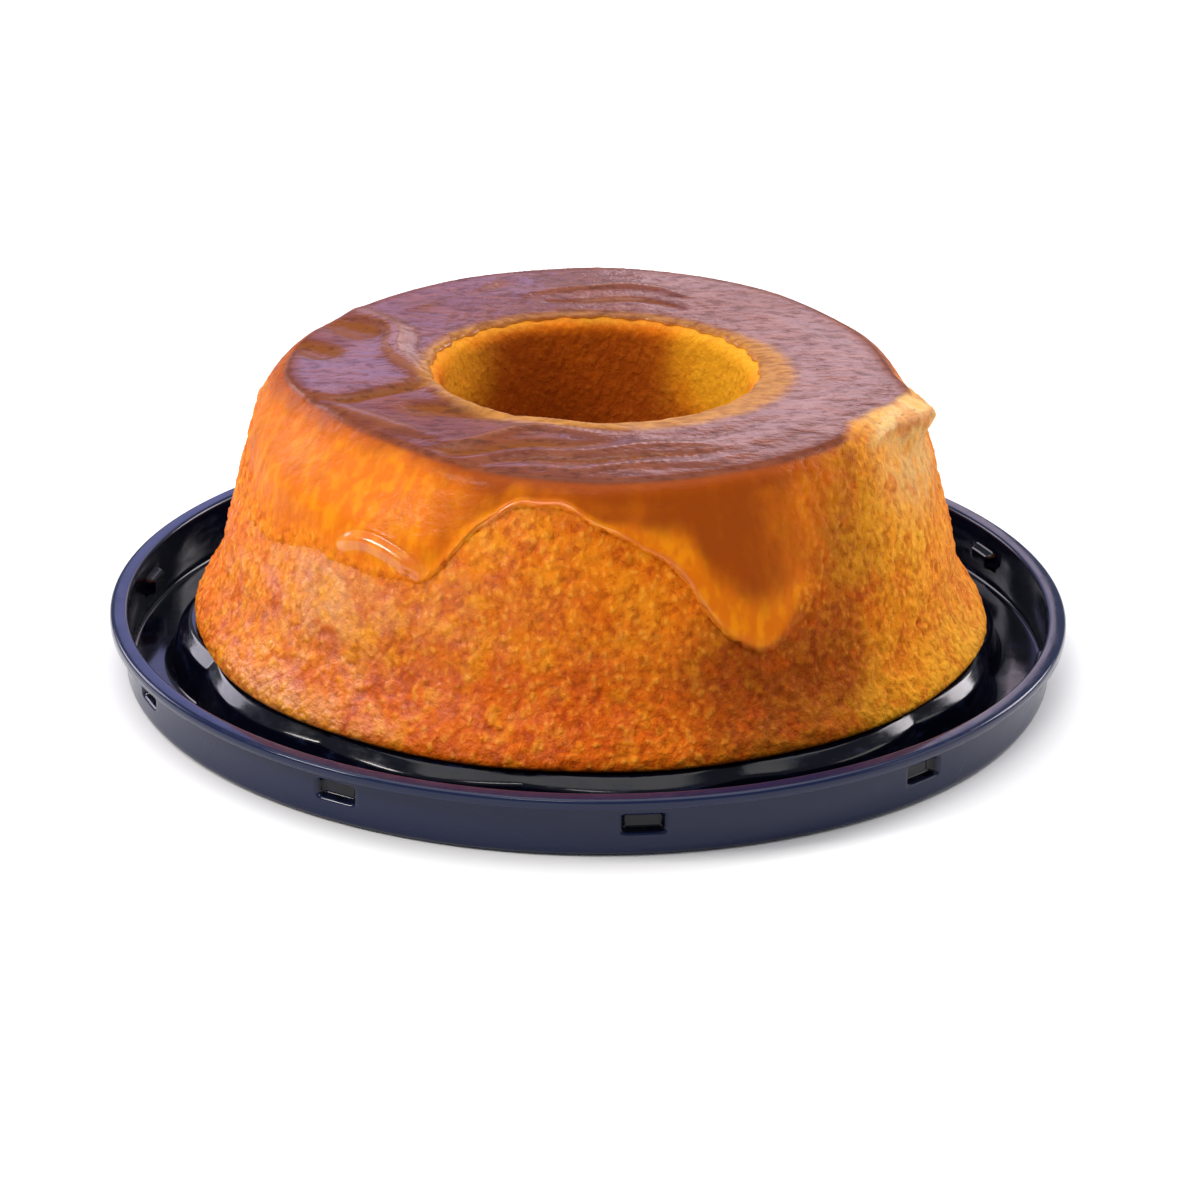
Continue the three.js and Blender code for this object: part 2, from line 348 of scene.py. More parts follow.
def patch(angle, height, strength, middle, half_width, *limits):
    """A patch of the side: strong at its middle angle, and kept within limits of the share of the height."""
    amount = strength * hill(angle - middle, half_width)
    for low, high in limits:
        amount = amount * smoothstep(height, low, high)
    return amount


def patches(angle, height, rows):
    """The sum of several patches, each given as strength, middle, half width and any limits."""
    return sum(patch(angle, height, *row) for row in rows)


def round_the_ring(angle, pairs, blur):
    """Numbers given at some angles, joined round the whole ring and softened over blur degrees."""
    known = np.array(pairs, float)
    spread = np.linspace(-2, 2, BLUR_SAMPLES)
    at = np.asarray(angle)[..., None] + spread * blur
    weight = np.exp(-spread ** 2)
    values = np.interp(at, known[:, 0], known[:, 1], period=360)
    return (values * weight).sum(-1) / weight.sum()


def spline(points, per_span=16):
    """A smooth line through the points, which are in millimetres. Returns metres."""
    p = np.array([points[0], *points, points[-1]], float)
    t = np.linspace(0, 1, per_span, endpoint=False)[:, None]
    spans = []
    for a, b, c, d in zip(p, p[1:], p[2:], p[3:]):
        v0, v1 = (c - a) / 2, (d - b) / 2
        spans.append(b + v0 * t + (3 * (c - b) - 2 * v0 - v1) * t**2 + (2 * (b - c) + v0 + v1) * t**3)
    return np.concatenate([*spans, p[-1:]]) * MM


def place_round(radius, angle, z):
    """Points at a radius and an angle in degrees."""
    turn = np.radians(angle)
    return np.stack(np.broadcast_arrays(radius * np.sin(turn), -radius * np.cos(turn), z), -1)


# ---- the cake's shape ----

FOOT = CAKE_LOW.z / MM
TOP = 82.6  # height of the sponge's top, in millimetres
EDGE = 83.0  # radius where the flat top ends, before the real edge strays from it, in millimetres
CORNER = (EDGE, TOP - 0.25)  # where the side turns over onto the top

# Radius of the flat top's edge: (angle, millimetres).
TOP_EDGE = [
    (-161, 82.3), (-137, 79.7), (-117, 78.2), (-100, 80), (-81, 80.5), (-62, 76.5), (-50, 76), (-39, 77),
    (-26, 80.3), (-16, 83), (0, 85.3), (19, 84.5), (39, 83.4), (65, 83), (78, 82.6), (90, 79.4), (105, 78.6),
    (120, 79), (134, 80.3), (159, 84), (180, 85.4),
]
# Raised lines on the side, as points at (angle, height in millimetres): the torn skin's lip, and the fold
# where the glaze slid and set. The widths are in millimetres.
LIP = [
    (52, 77.5), (57, 79.4), (62, 80.8), (67, 81.4), (71, 81.6), (75, 81.0), (77, 79.4), (77, 77), (76.6, 75),
]
LIP_WIDTH = 1.35
SLIDE = [
    (-43.5, 56.5), (-41.5, 58.8), (-39.6, 60.8), (-37, 61.6), (-34, 61.2), (-31, 60), (-27.5, 57.8),
    (-25, 55.5),
]
SLIDE_WIDTH = 2.1
SLIDE_HEIGHT = 1.4 * MM
MM_PER_DEGREE = 1.52  # round the cake at the height of the lip
HORN = 6.4  # how far the torn tip of skin stands out, in millimetres
HORN_ANGLE = 75
# Where the side bulges, or is hollow: millimetres, middle angle, half width, and limits of height.
BULGES = [
    (-0.9, -90, 50, (0.12, 0.02)),
    (-0.7, 90, 60),
    (0.7, -40, 45, (0.25, 0.0)),
    (1.6, 75, 35, (0.12, 0.0)),
    (-1.0, -80, 60, (0.1, 0.5), (0.85, 0.65)),
    (1.1, -92, 42, (0.7, 0.88), (1.0, 0.93)),
]


def sponge_section(settings):
    """The sponge's closed section as radius and height: along the bottom, up the side, over and down."""
    hole, hole_foot = settings.hole_radius / MM, settings.hole_foot_radius / MM
    flat = [(hole_foot + 2, FOOT), (106.6, FOOT)]
    side = [(106.6, FOOT), (107.9, 14.7), (107.6, 17.2), (105.9, 20), (103.5, 23.6), (101.4, 27.7)]
    side += [(99.9, 32), (98.6, 40), (96.2, 49), (93.9, 58), (91.4, 66), (89.2, 72), (87.2, 77), (85.6, 80.4)]
    side += [CORNER]
    over = [CORNER, (78, TOP), (66, TOP + 0.3), (52, TOP), (46, TOP - 0.25), (43.2, TOP - 1.1)]
    over += [(hole + 0.5, TOP - 3.4), (hole - 0.2, TOP - 8), (hole - 1, TOP - 15), (hole - 3, 45)]
    over += [(hole_foot, FOOT + 3), (hole_foot + 2, FOOT)]
    return np.concatenate([np.linspace(*flat, 20)[:-1] * MM, spline(side)[:-1], spline(over)])


def along(line):
    """Distance along a line of points."""
    return np.concatenate([[0], np.cumsum(np.linalg.norm(np.diff(line, axis=0), axis=1))])


def normal_of(line):
    """Outward normals of a section that runs anticlockwise."""
    direction = np.gradient(line, axis=0)
    direction /= np.linalg.norm(direction, axis=1, keepdims=True)
    return np.stack([direction[:, 1], -direction[:, 0]], -1)


def stray(radius, z, angle, hole_shift):
    """Moves points of a true ring to where the real cake has them. The result is an array of points."""
    height = (z / MM - FOOT) / (TOP - FOOT)
    outside = smoothstep(radius / MM, 48, 84)
    turn = np.radians(angle)
    uneven = patches(angle, height, BULGES)
    wave = 0.6 * np.sin(3 * turn + 1.1) * np.exp(-(((height - 0.3) / 0.3) ** 2)) * hill(angle - 150, 140)
    dent = 0.4 * np.sin(9 * turn + 0.7) * np.sin(height * 7 + 2 * np.sin(2 * turn))
    edge = (round_the_ring(angle, TOP_EDGE, 3) - EDGE) * smoothstep(height, 0.72, 0.99)
    horn = HORN * hill(angle - HORN_ANGLE, 14) * smoothstep(z / MM, 67.5, 79.5)
    horn = horn * (1 - 0.45 * smoothstep(z / MM, 80.6, 82.5))
    lip = 1.3 * crest_along(LIP, LIP_WIDTH, z, angle)
    scoop = -1.1 * hill(angle - 66, 12) * np.exp(-(((z / MM - 75.5) / 4) ** 2))
    moved = radius + outside * (uneven + wave + dent + edge + horn + scoop + lip) * MM
    points = place_round(moved, angle, z)
    points[..., 0] += hole_shift * (1 - outside)
    return points


def crest_along(route, width, z, angle):
    """1 on a raised line over the side, falling to 0 beside it and at both ends of the line."""
    z, angle = np.broadcast_arrays(z / MM, (np.asarray(angle, float) + 180) % 360 - 180)
    line = spline(route, 12) / MM
    crest = np.zeros(z.shape)
    low, high = line.min(axis=0), line.max(axis=0)
    near = (angle > low[0] - 5) & (angle < high[0] + 5) & (z > low[1] - 8)
    for part, (a, level) in zip(np.linspace(0, 1, len(line)), line):
        away = np.hypot((angle[near] - a) * MM_PER_DEGREE, z[near] - level)
        taper = smoothstep(part, 0.0, 0.3) * smoothstep(part, 1.0, 0.8)
        crest[near] = np.maximum(crest[near], taper * np.exp(-((away / width) ** 2)))
    return crest


# Folds of the top skin: width and height in millimetres, and the (x, y) points that each runs through, in
# millimetres. A height below 0 is a groove.
FOLDS = [
    (3.6, 1.7, [(-64, 44), (-56, 26), (-52, 8), (-46, -8), (-38, -20)]),
    (2.4, 1.2, [(-44, -18), (-32, -30), (-18, -39), (-4, -46), (8, -50)]),
    (5.5, -1.7, [(-72, 34), (-64, 26), (-60, 20)]),
    (5.0, -1.7, [(-80, 14), (-72, 9), (-68, 4)]),
    (2.6, -1.6, [(-72, -28), (-62, -30), (-52, -24), (-44, -14), (-42, -8)]),
    (4.2, -1.6, [(-46, -40), (-38, -36), (-28, -38), (-20, -44)]),
    (3.0, 0.9, [(-72, -22), (-62, -38), (-50, -52), (-38, -60)]),
    (2.4, 1.0, [(-42, -62), (-30, -60), (-14, -50), (2, -54)]),
    (3.0, -1.1, [(-46, -56), (-30, -67), (-12, -62), (6, -60)]),
    (2.4, 0.6, [(-34, -72), (-14, -68), (10, -64), (30, -58)]),
    (2.0, -0.8, [(-30, -77), (-8, -73), (14, -71), (34, -64)]),
    (2.4, 0.5, [(-22, -80), (0, -78), (24, -74), (40, -66)]),
    (2.4, -0.4, [(14, -56), (30, -52), (46, -42)]),
    (3.0, 0.3, [(30, -66), (46, -54), (58, -40)]),
    (1.3, -0.75, [(-12, 52), (-2, 54.5), (8, 54.5), (18, 52), (26, 48)]),
    (2.4, 0.8, [(-20, 57), (-6, 65), (10, 66), (26, 59)]),
    (3.4, -0.7, [(-46, 50), (-36, 60), (-22, 68)]),
    (3.0, 0.6, [(-50, 40), (-42, 54), (-30, 66)]),
    (4.6, -0.2, [(54, 50), (66, 32), (72, 12)]),
    (3.4, 0.2, [(52, 38), (62, 18), (64, -6)]),
    (4.0, 0.2, [(68, 4), (72, -16), (66, -36)]),
    (3.0, -0.2, [(58, 6), (60, -14), (56, -30)]),
    (3.0, 0.25, [(36, 66), (50, 58), (62, 46)]),
]
FOLD_STEPS = 10  # points on each span of a fold


def folds_at(points):
    """Height of the top's folds at points, in metres."""
    x, y = points[..., 0] / MM, points[..., 1] / MM
    x, y = x + 1.3 * np.sin(0.16 * y + 0.9), y + 1.3 * np.sin(0.19 * x + 2.1)
    total = np.zeros(x.shape)
    for width, height, path in FOLDS:
        route = spline(path, FOLD_STEPS) / MM
        taper = np.sin(np.linspace(0.06, 0.94, len(route)) * np.pi) ** 0.7
        away = np.stack([np.hypot(x - px, y - py) for px, py in route])
        nearest = away.argmin(0)
        lip = np.clip((away.min(0) / width) ** 2, 0, 30)
        total += height * taper[nearest] * np.exp(-lip)
    return total * MM


def add_relief(points, z):
    """Adds the folds to the points that lie on the top. z is each point's height before it was moved."""
    radius = np.hypot(points[..., 0], points[..., 1]) / MM
    share_of_top = smoothstep(z / MM, TOP - 2.0, TOP - 0.4)
    share_of_top = share_of_top * smoothstep(radius, 89, 78) * smoothstep(radius, 40, 48)
    on_top = share_of_top > 0
    points[on_top, 2] += folds_at(points[on_top]) * share_of_top[on_top]
    return points


# ---- the sponge ----

SPONGE_COLUMNS = 640
CRUMB_SEED = 0.37  # moves the pattern of grains and pores


def sponge_rows(line):
    """Where the sponge's rings of vertices go along its section, close together where the crumb shows."""
    distance = along(line)
    radius, z = line.T / MM
    spacing = np.full(len(line), 8.0)  # in millimetres
    spacing[z > FOOT + 0.5] = 0.95
    spacing[(z > TOP - 2) & (radius < 84)] = 3.0
    spacing[(z > TOP - 14) & (radius < 60)] = 1.1
    spacing[(z < TOP - 14) & (radius < 60)] = 2.2
    needed = np.concatenate([[0], np.cumsum(np.diff(distance) / MM / spacing[:-1])])
    places = np.interp(np.linspace(0, needed[-1], int(needed[-1]), endpoint=False), needed, distance)
    return np.stack([np.interp(places, distance, line[:, 0]), np.interp(places, distance, line[:, 1])], -1)


def sponge_material(settings):
    """Orange crumb, with pools of syrup where it is wet."""
    material, tree, shader = new_material("orange_crumb")
    colour, height = crumb_nodes(tree, settings)
    wet = attribute(tree, "wet")
    rough = smooth_between(tree, wet, 0.0, 1.0, 0.75, 0.5)
    bump = add_node(tree, "ShaderNodeBump", {"Height": height, "Strength": 1.0, "Distance": 0.6 * MM})
    pools = smooth_between(tree, noise(tree, 6 * MM, 3.0, 0.6), 0.4, 0.6, 0.35, 1.3)
    syrup = calculate(tree, "MULTIPLY", wet, pools)
    cover_with(tree, shader, colour, rough, bump.outputs[0], syrup)
    shader.inputs["Coat Roughness"].default_value = 0.15
    return material


def cover_with(tree, shader, colour, rough, normal, coat):
    """What the crumb and the glaze share: little shine of their own under a coat of syrup."""
    link_inputs(tree, shader, {
        "Base Color": colour, "Roughness": rough, "Normal": normal,
        "Coat Weight": coat, "Coat Normal": normal,
    })
    shader.inputs["Specular IOR Level"].default_value = 0.08
    shader.inputs["Subsurface Weight"].default_value = 0.12
    shader.inputs["Subsurface Radius"].default_value = (2.5 * MM, 0.7 * MM, 0.2 * MM)
    shader.inputs["Subsurface Scale"].default_value = 1.0


# Tones of the crumb that no setting holds.
TORN_WHITE = (0.86, 0.58, 0.27)
SUNNY_CRUMB = (0.82, 0.28, 0.006)
RED_CRUMB = (0.58, 0.085, 0.001)
# Painted highlight on the raised grains.
LIT_GRAIN = (1.0, 0.46, 0.045)
# Painted shade in the gaps between the grains.
SHADED_GRAIN = (0.66, 0.45, 0.32)  # multiplies the crumb's own colour
TALL = (1, 1, 0.85)  # the crumb's grains are a little taller than wide


def crumb_nodes(tree, settings):
    """The crumb's colour and its fine height. The glaze shows the same crumb through its thin parts."""
    names = ("toast_and_shade", "wet", "torn", "pore", "ruddy", "golden", "even")
    toast_and_shade, wet, torn, pore, ruddy, golden, even = (attribute(tree, name) for name in names)
    grain = noise(tree, 4.5 * MM, 4.0, 0.65, TALL)
    fine = noise(tree, 2.3 * MM, 4.0, 0.7, TALL)
    blotches = noise(tree, 16 * MM, 3.0, 0.55)
    streaks = noise(tree, 5 * MM, 3.0, 0.55, (1, 1, 0.3))
    lump = lumps(tree, 2.1 * MM, TALL)
    spread = calculate(tree, "MULTIPLY_ADD", blotches, 1.0, -0.5)
    # Baked skin with painted shade, then redder, yellower and torn parts over it; the yellower and torn parts
    # also carry painted light and painted reflection.
    baked = calculate(tree, "ADD", toast_and_shade, calculate(tree, "MULTIPLY_ADD", grain, 0.7, -0.35))
    baked = calculate(tree, "ADD", baked, spread)
    base = blend_colours(tree, smooth_between(tree, baked, 0.0, 1.0), settings.crumb, settings.crust)
    base = blend_colours(tree, smooth_between(tree, ruddy, 0.0, 1.0, 0.0, 0.85), base, settings.ruddy)
    yellower = calculate(tree, "MULTIPLY_ADD", spread, smooth_between(tree, golden, 0.0, 0.3), golden)
    base = blend_colours(tree, smooth_between(tree, yellower, 0.0, 1.0, 0.0, 0.9), base, settings.golden)
    base = blend_colours(tree, smooth_between(tree, torn, 0.0, 1.0), base, settings.pale)
    base = blend_colours(tree, smooth_between(tree, torn, 1.0, MOST, 0.0, 0.7), base, TORN_WHITE)
    # Yellow and red flecks where the crumb is open or wet.
    tone = noise(tree, 7 * MM, 2.0, 0.5)
    open_crumb = smooth_between(tree, even, 0.0, 0.6, 0.42, 0.0)
    open_crumb = calculate(tree, "MULTIPLY_ADD", wet, 0.3, open_crumb)
    yellow_part = calculate(tree, "MULTIPLY", smooth_between(tree, tone, 0.5, 0.66), open_crumb)
    yellow_part = calculate(tree, "MULTIPLY", yellow_part, smooth_between(tree, baked, 0.4, 1.1, 1.0, 0.35))
    base = blend_colours(tree, yellow_part, base, SUNNY_CRUMB)
    red_part = calculate(tree, "MULTIPLY", smooth_between(tree, tone, 0.48, 0.34), open_crumb)
    base = blend_colours(tree, red_part, base, RED_CRUMB)
    # Painted light on the raised grains and painted shade in the gaps between them.
    lit_grain_colour = blend_colours(tree, 0.38, base, LIT_GRAIN)
    shade = blend_colours(tree, 1.0, base, SHADED_GRAIN, "MULTIPLY")
    plain = smooth_between(tree, even, 0.0, 1.0, 1.0, 0.15)
    raised = calculate(tree, "MULTIPLY_ADD", lump, 0.16, calculate(tree, "MULTIPLY", fine, 0.62))
    raised = calculate(tree, "MULTIPLY_ADD", streaks, 0.22, raised)
    lit = calculate(tree, "MULTIPLY", smooth_between(tree, raised, 0.48, 0.64), plain)
    lit = calculate(tree, "MULTIPLY", lit, smooth_between(tree, baked, 0.3, 1.1, 1.0, 0.3))
    base = blend_colours(tree, lit, base, lit_grain_colour)
    gap_shade = calculate(tree, "MULTIPLY", smooth_between(tree, raised, 0.46, 0.33, 0.0, 0.85), plain)
    gap_shade = calculate(tree, "MULTIPLY", gap_shade, smooth_between(tree, torn, 0.0, 1.0, 1.0, 0.5))
    base = blend_colours(tree, gap_shade, base, shade)
    # Painted shade in the pores makes them the darkest, but less so under syrup.
    pore_shade = calculate(tree, "MULTIPLY", pore, smooth_between(tree, wet, 0.0, 1.0, 0.4, 0.2))
    colour = blend_colours(tree, calculate(tree, "MULTIPLY", pore_shade, plain), base, settings.pore)
    height = calculate(tree, "MULTIPLY_ADD", lump, 0.5, calculate(tree, "MULTIPLY_ADD", fine, 1.6, grain))
    height = calculate(tree, "MULTIPLY", height, smooth_between(tree, even, 0.3, 1.0, 1.0, 0.35))
    return colour, height


def grow_crumb(piece, settings, material):
    """Raises the grains and sinks the pores of a piece."""
    run_tree(piece, crumb_tree(), {
        "Grain Size": settings.grain_size, "Grain Height": settings.grain_height,
        "Pore Spacing": settings.pore_spacing, "Pore Depth": settings.pore_depth, "Seed": CRUMB_SEED,
        "Material": material,
    })


def crumb_tree():
    """Raises the grains of the crumb, sinks its pores and stores how deep each vertex lies in a pore."""
    if "Open Crumb" in bpy.data.node_groups:
        return bpy.data.node_groups["Open Crumb"]
    floats = ("Grain Size", "Grain Height", "Pore Spacing", "Pore Depth", "Seed")
    tree, given = new_geometry_tree("Open Crumb", floats)
    position = add_node(tree, "GeometryNodeInputPosition").outputs[0]
    shifted = vector_math(tree, "ADD", position, given["Seed"])
    tall = vector_math(tree, "MULTIPLY", shifted, TALL)
    # Grains: waves with a share of rounded lumps.
    grain_scale = calculate(tree, "DIVIDE", 1.0, given["Grain Size"])
    grain_inputs = {"Vector": tall, "Scale": grain_scale, "Detail": 3.0, "Roughness": 0.6}
    waves = add_node(tree, "ShaderNodeTexNoise", grain_inputs).outputs["Fac"]
    bend_inputs = {"Vector": tall, "Scale": grain_scale, "Detail": 1.0}
    bend = add_node(tree, "ShaderNodeTexNoise", bend_inputs).outputs["Color"]
    bent = vector_math(tree, "MULTIPLY_ADD", bend, (3 * MM, 3 * MM, 3 * MM), tall)
    lump_inputs = {"Vector": bent, "Scale": grain_scale, "Smoothness": 0.35, "Randomness": 1.0}
    lump_node = add_node(tree, "ShaderNodeTexVoronoi", lump_inputs, feature="SMOOTH_F1")
    lump = smooth_between(tree, lump_node.outputs["Distance"], 0.75, 0.1)
    grain = calculate(tree, "MULTIPLY_ADD", lump, 0.2, calculate(tree, "MULTIPLY", waves, 0.8))
    # Pores: pits that are only where the crumb is rough.
    pore_scale = calculate(tree, "DIVIDE", 1.0, given["Pore Spacing"])
    pore_inputs = {"Vector": tall, "Scale": pore_scale, "Randomness": 1.0}
    spread = add_node(tree, "ShaderNodeTexVoronoi", pore_inputs).outputs["Distance"]
    rough = add_node(tree, "GeometryNodeInputNamedAttribute", {"Name": "rough"}, data_type="FLOAT").outputs[0]
    pore = calculate(tree, "MULTIPLY", smooth_between(tree, spread, 0.36, 0.1), rough)
    # Each vertex moves along its normal.
    rise = calculate(tree, "MULTIPLY_ADD", grain, 2.0, -1.0)
    rise = calculate(tree, "MULTIPLY", rise, given["Grain Height"])
    rise = calculate(tree, "MULTIPLY", rise, rough)
    height = calculate(tree, "SUBTRACT", rise, calculate(tree, "MULTIPLY", pore, given["Pore Depth"]))
    normal = add_node(tree, "GeometryNodeInputNormal").outputs[0]
    offset = add_node(tree, "ShaderNodeVectorMath", {0: normal, "Scale": height}, operation="SCALE")
    shift = {"Geometry": given["Geometry"], "Offset": offset.outputs[0]}
    moved = add_node(tree, "GeometryNodeSetPosition", shift)
    store = {"Geometry": moved.outputs[0], "Name": "pore", "Value": pore}
    stored = add_node(tree, "GeometryNodeStoreNamedAttribute", store, data_type="FLOAT", domain="POINT")
    end_tree(tree, stored.outputs[0], given["Material"])
    return tree


NEAR_FOOT = ((0.8, 0.2), (-0.02, 0.12))  # limits that keep a patch low on the side
# What the crumb looks like on the side: strength, middle angle, half width, and limits of height.
SIDE_PATCHES = {
    "toast_and_shade": [
        (1.4, 31, 23, (0.58, 0.3)),
        (0.25, 5, 50, *NEAR_FOOT),
        (0.35, 180, 90),
        (0.8, 45, 22, (0.3, 0.6)),
        (0.75, -74, 46, (0.76, 0.96)),
    ],
    "wet": [
        (1.0, -52, 64),
        (0.12, 5, 50, *NEAR_FOOT),
        (0.5, 200, 60),
    ],
    "torn": [
        (0.9, 72, 24, (0.5, 0.85)),
        (0.25, 84, 45),
        # Painted reflection: pale patches for the glints of wet crumb below the glaze.
        (0.42, -43, 20, (0.22, 0.4), (0.62, 0.52)),
        # Painted light: lightens the foot where the tray shades it.
        (0.42, -46, 30, (0.2, 0.06)),
    ],
    "ruddy": [
        (1.15, -12, 48, (0.5, 0.2)),
        (0.5, -90, 60, *NEAR_FOOT),
        (0.5, 190, 50, *NEAR_FOOT),
    ],
    "golden": [
        (0.45, 66, 40, (0.9, 0.5)),
        (0.08, -55, 45),
        (0.45, 54, 26, (0.4, 0.7)),
        (0.3, 130, 60),
        # Painted light: lightens the foot where the tray shades it.
        (0.4, 50, 60, (0.22, 0.05)),
    ],
}
DRY_PATCHES = [(0.7, -88, 50, (0.35, 0.6)), (0.6, -85, 50)]
HOLE_LIGHT_PATCHES = [(1.25, 118, 50), (0.5, -112, 42)]  # where painted light makes the hole's wall yellow
PLAIN_TOAST = 0.12  # how toasted the side is all over
LIP_TORN = 1.3  # how torn the lip of skin is
MOST = 1.6  # the highest that any mark goes


def sponge_marks(radius, z, angle):
    """How toasted, wet, torn, rough, red, yellow and even the sponge is at each point, from 0 to MOST. The
    toast also holds painted shade, and the torn and yellow marks also hold painted light.
    """
    z_mm, r_mm = z / MM, radius / MM
    height = (z_mm - FOOT) / (TOP - FOOT)
    side = smoothstep(r_mm, 60, 80)
    on_side = {name: patches(angle, height, rows) for name, rows in SIDE_PATCHES.items()}
    toast_and_shade, torn = on_side["toast_and_shade"] + PLAIN_TOAST, on_side["torn"]
    torn = torn + LIP_TORN * crest_along(LIP, LIP_WIDTH, z, angle)
    wet = np.clip(on_side["wet"], 0, 1)
    for row in DRY_PATCHES:
        wet = wet * (1 - patch(angle, height, *row))
    # The hole is browner downwards, partly baked skin and partly painted shade. It is yellow at its rim, and
    # painted light makes its lit patches yellow.
    down = TOP - z_mm
    hole_light = patches(angle, height, HOLE_LIGHT_PATCHES)
    hole_toast_and_shade = 0.5 + smoothstep(down, 1.5, 6) * 0.5 + smoothstep(down, 8, 26) * 0.15
    hole_gold = np.maximum(0.5 * smoothstep(down, 3.5, 1), hole_light * smoothstep(down, 34, 12))
    toast_and_shade = side * toast_and_shade + (1 - side) * (hole_toast_and_shade - 1.1 * hole_light * smoothstep(down, 36, 12))
    torn = side * torn + (1 - side) * 0.2 * smoothstep(down, 3, 1)
    # Syrup and torn skin smooth the crumb, and the underside is flat.
    underside = smoothstep(z_mm, FOOT + 0.4, FOOT + 3)
    rough = underside * (1 - 0.35 * wet * side) * (1 - 0.5 * np.clip(torn, 0, 1))
    rough = rough * (side + (1 - side) * 0.3 * smoothstep(down, 1, 6))
    marks = {"toast_and_shade": toast_and_shade, "wet": wet * side, "torn": torn, "rough": rough}
    marks["ruddy"] = on_side["ruddy"] * side
    marks["golden"] = side * on_side["golden"] + (1 - side) * hole_gold
    marks["even"] = (1 - side) * 0.7 + 0.35 * side * wet * smoothstep(height, 0.3, 0.6)
    return {name: np.clip(values, 0, MOST) for name, values in marks.items()}


# ---- the glaze ----

GLAZE_COLUMNS = 740
GLAZE_ROWS = 120  # on the outer face
GLAZE_UNDER_ROWS = 13  # on the inner face

# How far the glaze reaches down the side from the upper edge: (angle, millimetres).
RUNS = [
    (-184, 30), (-177, 31), (-170, 22), (-163, 17), (-155, 20), (-149, 21), (-142, 13), (-134, 11),
    (-125, 17), (-117, 31), (-111, 36), (-106, 34), (-100, 20), (-92, 12), (-86, 16), (-76, 31),
    (-68, 36), (-60, 35), (-52, 32.5), (-46, 31.5), (-41, 31.5), (-34, 31), (-29, 32), (-25, 31),
    (-22, 25), (-18, 14), (-11, 7.5), (-4, 8.5), (2, 12.6), (8, 17.5), (12, 22), (16, 31), (20, 42),
    (25, 47), (30, 46), (35, 40), (40, 31), (44, 22), (48, 12), (52, 4), (57, 0.8), (66, 0.2), (73, 0.5),
    (78, 4), (84, 5), (90, 7), (97, 17), (104, 30), (109, 37), (114, 37), (120, 26), (129, 11), (136, 8),
    (142, 14), (148, 20), (153, 15), (160, 11), (168, 20),
]
# Radius on the top where the glaze thins out towards the hole: (angle, millimetres).
MOUTH = [
    (-170, 44.4), (-141, 44.8), (-127, 45.4), (-105, 46), (-89, 46.6), (-70, 47.4), (-50, 47.4),
    (-30, 47.6), (0, 50.6), (17, 51.5), (37, 52.4), (51, 53.5), (64, 54), (85, 53), (108, 50),
    (125, 46.6), (141, 45), (178, 44.2),
]
# How deep the glaze lies on the side: (angle, share of full depth).
DEPTHS = [
    (-180, 0.8), (-146, 0.5), (-112, 0.9), (-80, 0.42), (-64, 0.4), (-50, 0.25), (-34, 0.2), (-22, 0.5),
    (-12, 0.72), (-2, 0.74), (8, 0.78), (16, 0.98), (24, 1.05), (29, 0.85), (35, 0.45), (41, 0.2),
    (60, 0.15), (70, 0.2), (90, 0.5), (112, 1.0), (147, 0.6),
]
# How much of the crumb shows through the glaze on the side: (angle, share).
SHEER = [
    (-180, 0.3), (-146, 0.6), (-112, 0.2), (-92, 0.7), (-72, 0.4), (-52, 0.15), (-38, 0.1), (-15, 0.0),
    (24, 0.0), (31, 0.3), (38, 0.8), (48, 0.95), (84, 0.9), (98, 0.5), (112, 0.1), (130, 0.6), (147, 0.4),
]
# The rounded bead along the glaze's lower edge: (angle, share of the glaze's thickness), then
# (angle, width in millimetres).
BEADS = [
    (-180, 0.4), (-112, 0.6), (-80, 0.1), (-50, 0.1), (-38, 0.2), (-27, 0.2), (-20, 0.3), (-13, 0.8),
    (-6, 1.1), (7, 1.1), (13, 0.5), (20, 0.3), (28, 0.25), (38, 0.1), (60, 0.1), (90, 0.2), (112, 0.6),
    (147, 0.5),
]
BEAD_WIDTHS = [
    (-180, 1.9), (-46, 2.0), (-38, 1.9), (-27, 1.3), (-16, 0.9), (10, 0.9), (19, 2.4), (30, 2.4), (45, 1.9),
]
# How soft the glaze's lower edge is: (angle, millimetres over which it thins out).
FEATHER = [
    (-180, 4), (-112, 3), (-90, 9), (-70, 13), (-52, 12), (-45, 8), (-39, 7), (-30, 6), (-24, 6), (-17, 4),
    (-11, 1.8), (8, 1.8), (14, 3.5), (20, 3), (27, 3.5), (32, 9), (38, 16), (46, 16), (56, 8), (82, 6),
    (90, 5), (112, 3), (147, 4),
]
# How far above the lower edge the glaze gets its full colour: (angle, millimetres).
RIBBON = [
    (-180, 8), (-60, 8), (-38, 7), (-22, 7), (-12, 3), (2, 4), (8, 8), (13, 15), (17, 24), (22, 22),
    (28, 19), (36, 13), (44, 9), (60, 4), (112, 8), (147, 6),
]
# Where the top is less shiny: x, y, size in millimetres, and the share of the shine lost.
DULL = [
    (-43, -40, 17, 0.85), (-26, -60, 15, 0.85), (-2, -74, 12, 0.25), (-70, 18, 9, 0.6),
    (-58, -32, 12, 0.5), (-46, 52, 26, 0.4), (42, 55, 24, 0.3), (-66, 30, 12, 0.4),
]
MOUTH_EDGE = 43.7  # mean radius where the glaze ends at the hole, in millimetres
DIP = 0.35 * MM  # how far the glaze's thin edges dip into the crumb
BURIED = 1.2 * MM  # how far the glaze's inner face lies inside the crumb


